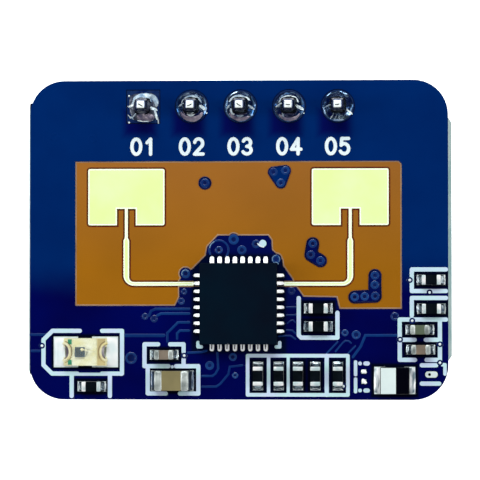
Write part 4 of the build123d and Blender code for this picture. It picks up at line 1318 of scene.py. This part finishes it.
def ripple(number, line, width, rise):
    """A ridge laid over the joint of one pin. It narrows toward its ends, and its edge wanders."""
    pin_x, pin_y = pin_middles[number - 1]
    seed, square = number * seed_step, number == 1
    line = smooth_line(line)
    across, points = 7, []
    for i, (point, way) in enumerate(zip(line, side_ways(line, False))):
        u = i / (len(line) - 1)
        taper = 0.25 + 0.75 * math.sin(math.pi * u) ** 0.6
        for j in range(across):
            v = 2 * j / (across - 1) - 1
            wander = 1 + 0.25 * noise.noise(Vector((point.x * 6 + v, point.y * 6, seed)))
            place = point + way * v * width / 2 * taper * wander
            swell = rise * (1 - v * v) * taper - 0.006
            points.append((pin_x + place.x, pin_y + place.y, solder_height(*place, seed, square) + swell))
    count = len(points)
    points += [(x, y, z - 0.04) for x, y, z in points]
    faces = net(len(line), across)
    faces += [[count + i for i in face] for face in faces]
    for i in range(len(line) - 1):
        for j in (0, across - 1):
            a, b = i * across + j, (i + 1) * across + j
            faces.append([a, b, count + b, count + a])
    for i in (0, len(line) - 1):
        row = [i * across + j for j in range(across)]
        faces.append(row + [count + k for k in reversed(row)])
    return points, faces


# %% Ripples
slope_light = level_light * 0.5  # a cone's flank gets about half the light of a level face
# The three ripple colours are painted light: a glint, a grey reflection and a purple reflection
bright = surface(
    "Ripple with a painted glint", (214, 226, 226), 0.4, 0.1, tones=((214, 226, 226), (186, 204, 212), 2600.0),
    grained=(5000.0, 0.004), light=slope_light,
)
dull = surface(
    "Ripple with a painted grey reflection", (150, 166, 176), 0.4, 0.2, tones=((178, 190, 192), (96, 122, 146), 2200.0),
    grained=(4000.0, 0.005), light=slope_light,
)
purple = surface(
    "Ripple with a painted purple reflection", (132, 124, 138), 0.4, 0.2, tones=((152, 142, 152), (74, 70, 96), 2200.0),
    grained=(4000.0, 0.005), light=slope_light,
)
ripples = {
    "bright": (bright, [
        (2, 0.19, [(0.45, 0.0), (0.58, -0.06), (0.72, -0.18)]),
        (2, 0.15, [(-0.24, -0.4), (-0.02, -0.5), (0.2, -0.4)]), (2, 0.08, [(0.75, -0.32), (0.79, -0.38)]),
        (3, 0.17, [(-0.48, -0.15), (-0.44, -0.32), (-0.28, -0.46)]),
        (3, 0.13, [(0.2, 0.46), (0.36, 0.42), (0.5, 0.3)]), (4, 0.18, [(0.38, -0.02), (0.58, -0.09), (0.76, -0.2)]),
        (4, 0.14, [(0.16, 0.49), (0.38, 0.38), (0.5, 0.17)]), (4, 0.08, [(0.75, -0.34), (0.78, -0.4)]),
        (5, 0.11, [(0.46, -0.18), (0.6, -0.3), (0.76, -0.44)]), (1, 0.17, [(0.3, -0.08), (0.5, -0.1), (0.74, -0.2)]),
        (1, 0.14, [(-0.8, 0.0), (-0.5, 0.03), (-0.3, 0.0)]),
        (1, 0.24, [(-0.46, 0.3), (-0.34, 0.52), (0.1, 0.57), (0.58, 0.54), (0.66, 0.34)]),
        (1, 0.09, [(0.34, 0.46), (0.42, 0.26), (0.36, 0.08)]), (1, 0.13, [(0.6, -0.16), (0.68, -0.4), (0.72, -0.7)]),
        (1, 0.07, [(-0.32, -0.72), (0.1, -0.77), (0.5, -0.72)]),
    ]),
    "dull": (dull, [
        (2, 0.1, [(-0.69, -0.02), (-0.5, 0.08), (-0.33, 0.1)]),
        (2, 0.14, [(-0.5, 0.16), (-0.3, 0.44), (0.11, 0.53), (0.43, 0.4), (0.54, 0.16)]),
        (3, 0.19, [(-0.58, 0.22), (-0.36, 0.47), (0.08, 0.52), (0.42, 0.36)]),
        (3, 0.1, [(-0.7, -0.15), (-0.62, 0.0), (-0.5, 0.06)]),
        (3, 0.13, [(0.42, 0.02), (0.58, -0.06), (0.74, -0.19)]),
        (3, 0.09, [(-0.22, -0.5), (0.0, -0.56), (0.2, -0.5)]), (4, 0.14, [(-0.54, 0.16), (-0.3, 0.46), (0.15, 0.53)]),
        (4, 0.13, [(-0.7, -0.06), (-0.5, 0.04), (-0.33, 0.08)]), (4, 0.1, [(-0.36, -0.38), (-0.26, -0.58)]),
        (5, 0.09, [(-0.73, -0.08), (-0.5, -0.02), (-0.34, -0.02)]), (5, 0.06, [(-0.4, -0.68), (-0.24, -0.48)]),
        (5, 0.06, [(-0.2, -0.72), (-0.04, -0.5)]),
        (5, 0.06, [(0.25, -0.5), (0.07, -0.54), (0.04, -0.66), (0.2, -0.74)]),
        (1, 0.36, [(-0.5, 0.1), (-0.38, 0.46), (0.1, 0.56), (0.54, 0.5), (0.68, 0.3), (0.7, 0.0)]),
        (1, 0.2, [(-0.24, 0.34), (0.1, 0.38), (0.5, 0.24)]), (1, 0.07, [(-0.68, -0.5), (-0.5, -0.68)]),
        (1, 0.08, [(-0.32, -0.34), (-0.58, -0.6)]),
    ]),
    "purple": (purple, [
        (2, 0.24, [(-0.58, -0.3), (-0.38, -0.58), (0.02, -0.7), (0.4, -0.58), (0.58, -0.3)]),
        (2, 0.1, [(-0.42, -0.26), (-0.32, -0.46)]),
        (3, 0.2, [(-0.6, -0.36), (-0.34, -0.62), (0.12, -0.71), (0.5, -0.52)]),
        (4, 0.18, [(-0.52, -0.44), (-0.25, -0.66), (0.08, -0.71), (0.43, -0.58), (0.57, -0.38)]),
        (1, 0.42, [(-0.3, -0.56), (0.16, -0.6), (0.6, -0.54)]), (1, 0.18, [(-0.12, -0.42), (0.36, -0.42)]),
    ]),
}
for name, (material, strokes) in ripples.items():
    make_piece(
        f"{name}_ripples",
        [ripple(number, line, width, 0.02 + width * 0.16) for number, width, line in strokes],
        material, sharp_degrees=60,
    )

# %% [markdown]
# ## Ends of the chip parts
# The metal ends of resistors and capacitors are dipped, which leaves them with round edges. The CAD has thin
# cups there. For the picture each cup becomes a solid block with rounded edges at the same place and size,
# so that its corners shine as bars of light.


# %% End caps
for node, rounding, metal in (
    ("resistor_end_caps", 0.035, cap_metal), ("capacitor_end_caps", 0.07, grey_cap),
    ("back_capacitor_end_caps", 0.06, grey_cap),
):
    blocks = [rounded_box(low, high, rounding) for low, high in solids_of(node)]
    ends = make_piece(node.replace("end_caps", "ends"), blocks, metal)
    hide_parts(node)
    print(node, "has", len(blocks), "ends")

# %% [markdown]
# ## Solder at the ends
# Each end stands in a small meniscus of solder: steep at the metal, hollow in the middle, and thin at the rim
# of the land, where a last ridge shines. The CAD has plain wedges there. Their boxes say where each one lies,
# and the metal end that a wedge touches says which way it runs out.


# %% Shape a fillet
def way_out(bead, ends):
    """How a bead of solder runs out from the end it touches: the axis, the way, and the reach beyond it."""
    low, high = bead
    for end_low, end_high in ends:
        if all(low[a] < end_high[a] + 0.06 and high[a] > end_low[a] - 0.06 for a in (0, 1)):
            reaches = [(end_low[a] - low[a], a, -1) for a in (0, 1)] + [(high[a] - end_high[a], a, 1) for a in (0, 1)]
            reach, axis, way = max(reaches)
            return axis, way, reach
    raise ValueError(f"a bead at {low} touches no end")


def bowed(v, seed):
    """How far a land's rim bows at a share v of its width. On some beads it bows the other way."""
    return (1 - (2 * v - 1) ** 2) * (1 if noise.noise(Vector((seed, 1, 1))) > 0 else -0.4)


def fillet(bead, axis, way, reach, rise, seed, swell=0.0, across=13, along=9):
    """A meniscus from the end's foot to the rim of its land, with dents that differ from bead to bead."""
    low, high = bead
    other = 1 - axis
    rim = low[axis] if way < 0 else high[axis]
    base = low.z
    points = []
    for i in range(along + 1):
        u = i / along
        for j in range(across + 1):
            v = j / across
            out = rim - way * reach * (1 - u) - (way * 0.05 if i == 0 else 0)
            side = low[other] + (high[other] - low[other]) * (0.5 + (v - 0.5) * (1 - 0.06 * u))
            bow = 0.05 * bowed(v, seed) * u
            dent = noise.noise(Vector((v * 3.1 + seed, u * 2.3, seed * 0.7)))
            edge = max(0.0, 1 - abs(2 * v - 1) ** 5)
            ridge = math.exp(-((u - 0.84) / 0.1) ** 2) * 0.028
            height = (rise * (1 - u) ** 1.9 + ridge * (0.9 + dent) + swell * (1 - u * u)) * edge
            height += 0.018 * dent * edge * (1 - abs(2 * u - 1))
            place = [0.0, 0.0]
            place[axis], place[other] = out - way * bow, side
            points.append((*place, base + max(0.002, height)))
    row = across + 1
    top = len(points)
    for i in range(along + 1):
        for j in (0, across):
            x, y, _ = points[i * row + j]
            points.append((x, y, base - 0.02))
    faces = net(along + 1, row)
    for i in range(along):
        faces.append([i * row, (i + 1) * row, top + 2 * i + 2, top + 2 * i])
        faces.append([i * row + across, top + 2 * i + 1, top + 2 * i + 3, (i + 1) * row + across])
    faces.append([*range(row), top + 1, top])
    faces.append([*[along * row + j for j in range(row)], top + 2 * along + 1, top + 2 * along])
    faces.append([top + 2 * i for i in range(along + 1)] + [top + 2 * i + 1 for i in reversed(range(along + 1))])
    return points, faces


# %% Fillets
small_ends = solids_of("resistor_end_caps") + solids_of("capacitor_end_caps")
light_ends, diode_ends = solids_of("led_terminals"), solids_of("diode_terminals")
dark_fillets, deep_fillets, diode_fillets, light_fillets, land_rims = [], [], [], [], []
light_width, diode_width = 1.4, 1.2  # the light's beads are wider than the first, the diode's than the second
large_low, large_high = (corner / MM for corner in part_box("capacitor_4"))
for number, bead in enumerate(solids_of("front_solder")):
    seed = number * 1.7
    axis, way, reach = way_out(bead, small_ends + light_ends + diode_ends)
    low, high = bead
    if high.y - low.y > light_width:
        light_fillets.append(fillet(bead, axis, way, reach, 0.1, seed, swell=0.02))
        continue
    if high.y - low.y > diode_width:
        diode_fillets.append(fillet(bead, axis, way, reach, (high.z - low.z) * 0.8, seed, swell=0.03))
        continue
    by_large = all(large_low[a] - 0.6 < (low[a] + high[a]) / 2 < large_high[a] + 0.6 for a in (0, 1))
    pile = deep_fillets if by_large else dark_fillets
    pile.append(fillet(bead, axis, way, reach, high.z - low.z + 0.05, seed))
    rim = (low if way < 0 else high)[axis] - way * 0.05
    line = []
    for step in range(8):
        v = step / 7
        place = [0.0, 0.0]
        place[1 - axis] = low[1 - axis] + (high[1 - axis] - low[1 - axis]) * (0.07 + 0.86 * v)
        place[axis] = rim - way * (0.045 * bowed(v, seed)) + 0.012 * noise.noise(Vector((v * 4, seed, 2)))
        line.append(tuple(place))
    land_rims.append(ribbon(line, 0.06, low.z, low.z + 0.045, 0.02))
fillets = make_piece("solder_fillets", dark_fillets, fillet_solder, sharp_degrees=60)
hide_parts("front_solder")
make_piece("shaded_fillets", deep_fillets, deep_solder, sharp_degrees=60)
make_piece("diode_fillets", diode_fillets, streaked_solder, sharp_degrees=60)
make_piece("light_fillets", light_fillets, white_solder, sharp_degrees=60)
make_piece("fillet_rims", land_rims, streaked_solder)

# %% [markdown]
# ## Inside the indicator light
# A gold wire thinner than a hair joins the top of the die to the far end. Two green marks show which end is
# which, and the other end has a tan coat. All of it is too fine for the CAD model, and all of it is what the
# eye looks for under the clear resin.

# %% Bond wire and marks
led_x, led_y = middle("led_base")
led_low, led_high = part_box("led_base")
base_top = level("led_terminals", 1)
die_x, die_y = middle("led_die")
die_top = level("led_die", 1)

pad_x, pad_y = die_x + 0.12, die_y + 0.12
bond = [
    (pad_x, pad_y, die_top + 0.02), (pad_x + 0.05, pad_y, die_top + 0.1), (pad_x + 0.2, pad_y - 0.02, die_top + 0.13),
    (pad_x + 0.5, pad_y - 0.05, die_top + 0.06), (pad_x + 0.66, pad_y - 0.06, base_top - 0.02),
]
make_piece("light_bond_wire", [wire(bond, 0.014)], gold)
bond_pad = [(0.0, die_top), (0.0, die_top + 0.035), (0.05, die_top + 0.03), (0.085, die_top)]
make_piece("light_bond_pad", [lathe(bond_pad, pad_x, pad_y, 24)], gold)
green = surface(
    "Green end mark", (24, 132, 92), 0.5, specular=0.3, tones=((22, 128, 88), (70, 160, 124), 2500.0),
    grained=(5000.0, 0.003),
)
mark_x = led_x - 0.8
make_piece(
    "light_marks",
    [
        rounded_box((mark_x - 0.1, y - 0.13, base_top - 0.01), (mark_x + 0.1, y + 0.13, base_top + 0.012), 0.005)
        for y in (led_y - 0.53, led_y + 0.53)
    ],
    green,
)

# %% Notches in the gilded ends
# Each end has a half-round notch with a gilded lip, painted olive shade round it and a painted grey shadow inside
painted_shades, lips, notch_shadows = [], [], []
foot = base_top - 0.01
for end_x, start in ((led_low.x / MM, -90), (led_high.x / MM, 90)):
    shade_line = arc(end_x, led_y, 0.43, 0.56, start + 14, start + 166, 14)
    painted_shades.append(ribbon(shade_line, 0.06, foot, base_top + 0.016, 0.02))
    lips.append(ribbon(arc(end_x, led_y, 0.32, 0.44, start, start + 180, 14), 0.13, foot, base_top + 0.03, 0.035))
    outer_line = arc(end_x, led_y, 0.27, 0.37, start, start + 180, 14)
    inner_line = arc(end_x, led_y, 0.14, 0.37, start, start + 180, 14)
    notch_shadows.append(slab(outer_line + inner_line[-2:0:-1], foot, base_top + 0.009))
# Painted olive shade round each lip
painted_olive_shade = surface(
    "Painted olive shade by the gilding", (158, 140, 92), 0.45, 0.1, tones=((176, 160, 108), (120, 100, 70), 2000.0),
    grained=(5000.0, 0.003),
)
make_piece("light_end_shades", painted_shades, painted_olive_shade)
lip_gold = surface(
    "Gilded lip", (255, 255, 222), 0.35, 0.2, tones=((255, 255, 226), (240, 226, 156), 2200.0),
    grained=(5000.0, 0.003),
)
make_piece("light_end_lips", lips, lip_gold)
# Painted grey shadow inside each notch
painted_notch_shadow = surface(
    "Painted shadow in a notch", (150, 142, 150), 0.45, 0.3, tones=((178, 172, 178), (96, 88, 100), 1800.0),
    grained=(4000.0, 0.004),
)
make_piece("light_end_notch_shadows", notch_shadows, painted_notch_shadow)

# %% Tan end coat
tan = surface(
    "Tan end coat", (204, 188, 132), 0.5, specular=0.3, tones=((206, 190, 134), (186, 170, 120), 2000.0),
    grained=(5000.0, 0.003),
)
coat = [(led_x + 1.125 + dx, led_y + dy) for dx, dy in arc(0, 0, 0.34, 0.43, 108, 252, 12)]
coat += [(led_x + dx, led_y + dy) for dx, dy in ((1.06, -0.68), (0.64, -0.68), (0.64, 0.68), (1.06, 0.68))]
make_piece("light_end_coat", [slab(coat, base_top - 0.005, base_top + 0.008)], tan)

# %% [markdown]
# ## Bare spots near the diode
# Two small lands have solder on them and no part, each frozen in an uneven drop. The long test land has a
# drilled via at one end and a filled one at the other.


# %% Drops of solder and the test land
def drop(x, y, width, depth, rise, seed, turns=28, steps=6):
    """A low, uneven dome of solder on the mask."""
    base = mask_top - 0.01
    points, faces = [(x, y, base + rise)], []
    for step in range(1, steps + 1):
        t = step / steps
        for turn in range(turns):
            angle = 2 * math.pi * turn / turns
            wobble = 1 + 0.28 * noise.noise(Vector((math.cos(angle) * 1.3, math.sin(angle) * 1.3, seed)))
            height = base + rise * math.sqrt(max(0.0, 1 - t * t))
            points.append((
                x + math.cos(angle) * width / 2 * wobble * t, y + math.sin(angle) * depth / 2 * wobble * t, height
            ))
    for turn in range(turns):
        after = (turn + 1) % turns
        faces.append([0, 1 + turn, 1 + after])
        for step in range(steps - 1):
            low, high = 1 + step * turns, 1 + (step + 1) * turns
            faces.append([low + turn, high + turn, high + after, low + after])
    faces.append([1 + (steps - 1) * turns + turn for turn in range(turns)])
    return points, faces


spare_drops = [
    (6.4, -13.8, 0.27, 0.2, 0.06, 3.1), (6.5, -13.84, 0.16, 0.16, 0.05, 5.2), (6.39, -14.3, 0.2, 0.24, 0.06, 8.4),
    (6.5, -14.38, 0.16, 0.16, 0.05, 9.7),
]
make_piece("spare_solder", [drop(*numbers) for numbers in spare_drops], lead_solder)
# The drilled hole is a flat disc painted near black as its shade
painted_hole_shade = surface("Painted shade in a drilled hole", (4, 6, 12), 0.7, specular=0.1, tones=((4, 6, 12), (14, 16, 20), 3000.0))
make_piece("test_land_hole", [via_dimple(9.82, -13.96, 0.075, copper_top + 0.002)], painted_hole_shade)
make_piece("test_land_ring", [via_ring(10.1, -13.96, 0.1, 0.06, copper_top, 0.012)], tinned)

# %% [markdown]
# ## Floor, lights and camera
# The part stands on a plain pale table in soft light. Most of it comes from a dome that is bright all round
# and dark straight overhead: a level gloss then mirrors the dark and keeps its colour, while dull metal sees
# the bright part and shines. One large softbox behind the pins draws the short shadows below them.

# %% Floor
floor_level = cad_box[0].z
floor_half = 0.6
mesh = bpy.data.meshes.new("floor")
mesh.from_pydata(
    [(x * floor_half, y * floor_half, floor_level) for x, y in ((-1, -1), (1, -1), (1, 1), (-1, 1))],
    [], [[0, 1, 2, 3]],
)
floor = bpy.data.objects.new("floor", mesh)
bpy.context.scene.collection.objects.link(floor)
pale_table, tree, shader = new_material("Pale table", (0.86, 0.87, 0.88, 1), 0.8, specular=0.1)
shader.inputs["Emission Color"].default_value = (1, 1, 1, 1)
shader.inputs["Emission Strength"].default_value = 0.8
mesh.materials.append(pale_table)

# %% Dome
dome_light = 0.62
world = bpy.data.worlds.new("Bright dome")
bpy.context.scene.world = world
world.use_nodes = True
tree = world.node_tree
sky = tree.nodes["Background"]
sky.inputs["Strength"].default_value = dome_light
direction = put(tree, "TexCoord")
axes = put(tree, "SeparateXYZ")
dark_overhead = put(
    tree, "MapRange",
    {"From Min": math.cos(math.radians(36)), "From Max": math.cos(math.radians(17)), "To Min": 1.0, "To Max": 0.02},
    interpolation_type="SMOOTHSTEP",
)
dim_horizon = put(
    tree, "MapRange",
    {"From Min": 0.1, "From Max": 0.6, "To Min": 0.12, "To Max": 1.0},
    interpolation_type="SMOOTHSTEP",
)
both = put(tree, "Math", operation="MULTIPLY")
wire_up(
    tree, (direction, "Generated", axes, 0), (axes, "Z", dark_overhead, "Value"), (axes, "Z", dim_horizon, "Value"),
    (dark_overhead, "Result", both, 0), (dim_horizon, "Result", both, 1), (both, 0, sky, "Color"),
)


# %% Softboxes
def softbox(name, place, size, brightness, colour):
    """A rectangular lamp that looks at the board. The brightness is that of its surface."""
    lamp = bpy.data.lights.new(name, "AREA")
    lamp.shape = "RECTANGLE"
    lamp.size, lamp.size_y = size[0] * MM, size[1] * MM
    lamp.energy = brightness * math.pi * lamp.size * lamp.size_y
    lamp.color = colour
    holder = bpy.data.objects.new(name, lamp)
    holder.location = Vector(place) * MM
    holder.rotation_euler = (board_middle - Vector(place)).to_track_quat("-Z", "Y").to_euler()
    bpy.context.scene.collection.objects.link(holder)


low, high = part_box("front_solder_mask")
board_middle = Vector(((low.x + high.x) / 2 / MM, (low.y + high.y) / 2 / MM, mask_top))
softbox("key behind the pins", (-10, 110, 120), (110, 60), 14.5, (0.98, 1.0, 1.0))
softbox("box on the right", (125, 15, 110), (34, 60), 9.0, (1.0, 1.0, 0.99))
softbox("box on the left", (-125, -5, 105), (40, 50), 8.0, (0.98, 0.99, 1.0))
softbox("low strip on the left", (-150, 10, 62), (90, 44), 6.0, (0.98, 0.99, 1.0))
softbox("low strip on the right", (140, -55, 58), (44, 60), 8.0, (1.0, 1.0, 1.0))
softbox("dim box in front", (10, -140, 75), (80, 40), 1.1, (0.96, 0.92, 1.0))

# %% Camera
aim_from_pin = Vector((-0.018, -6.97))  # what the camera looks at, from the middle pin
camera_height = 146.0  # above the mask, from how far the pins' tips lean away from their lands
camera_offset = Vector((7.368, -3.705))  # from over that point
frame_width = 25.0  # millimetres across the picture at the mask
sensor = 36.0
camera_data = bpy.data.cameras.new("camera")
camera = bpy.data.objects.new("camera", camera_data)
bpy.context.scene.collection.objects.link(camera)
bpy.context.scene.camera = camera
aim = Vector(pin_middles[2]) + aim_from_pin
eye = Vector((aim.x + camera_offset.x, aim.y + camera_offset.y, mask_top + camera_height))
view_middle = Vector((aim.x, aim.y, mask_top))
forward = (view_middle - eye).normalized()
rightward = forward.cross(Vector((0, 1, 0))).normalized()
upward = rightward.cross(forward)
turn = Matrix((rightward, upward, -forward)).transposed()
camera.matrix_world = Matrix.Translation(eye * MM) @ turn.to_4x4()
camera_data.sensor_width = sensor
camera_data.lens = sensor * (view_middle - eye).length / frame_width
camera_data.clip_start, camera_data.clip_end = 0.01, 10.0
bpy.context.scene.view_settings.view_transform = "Standard"
print("lens", round(camera_data.lens), "mm at", round((view_middle - eye).length), "mm")
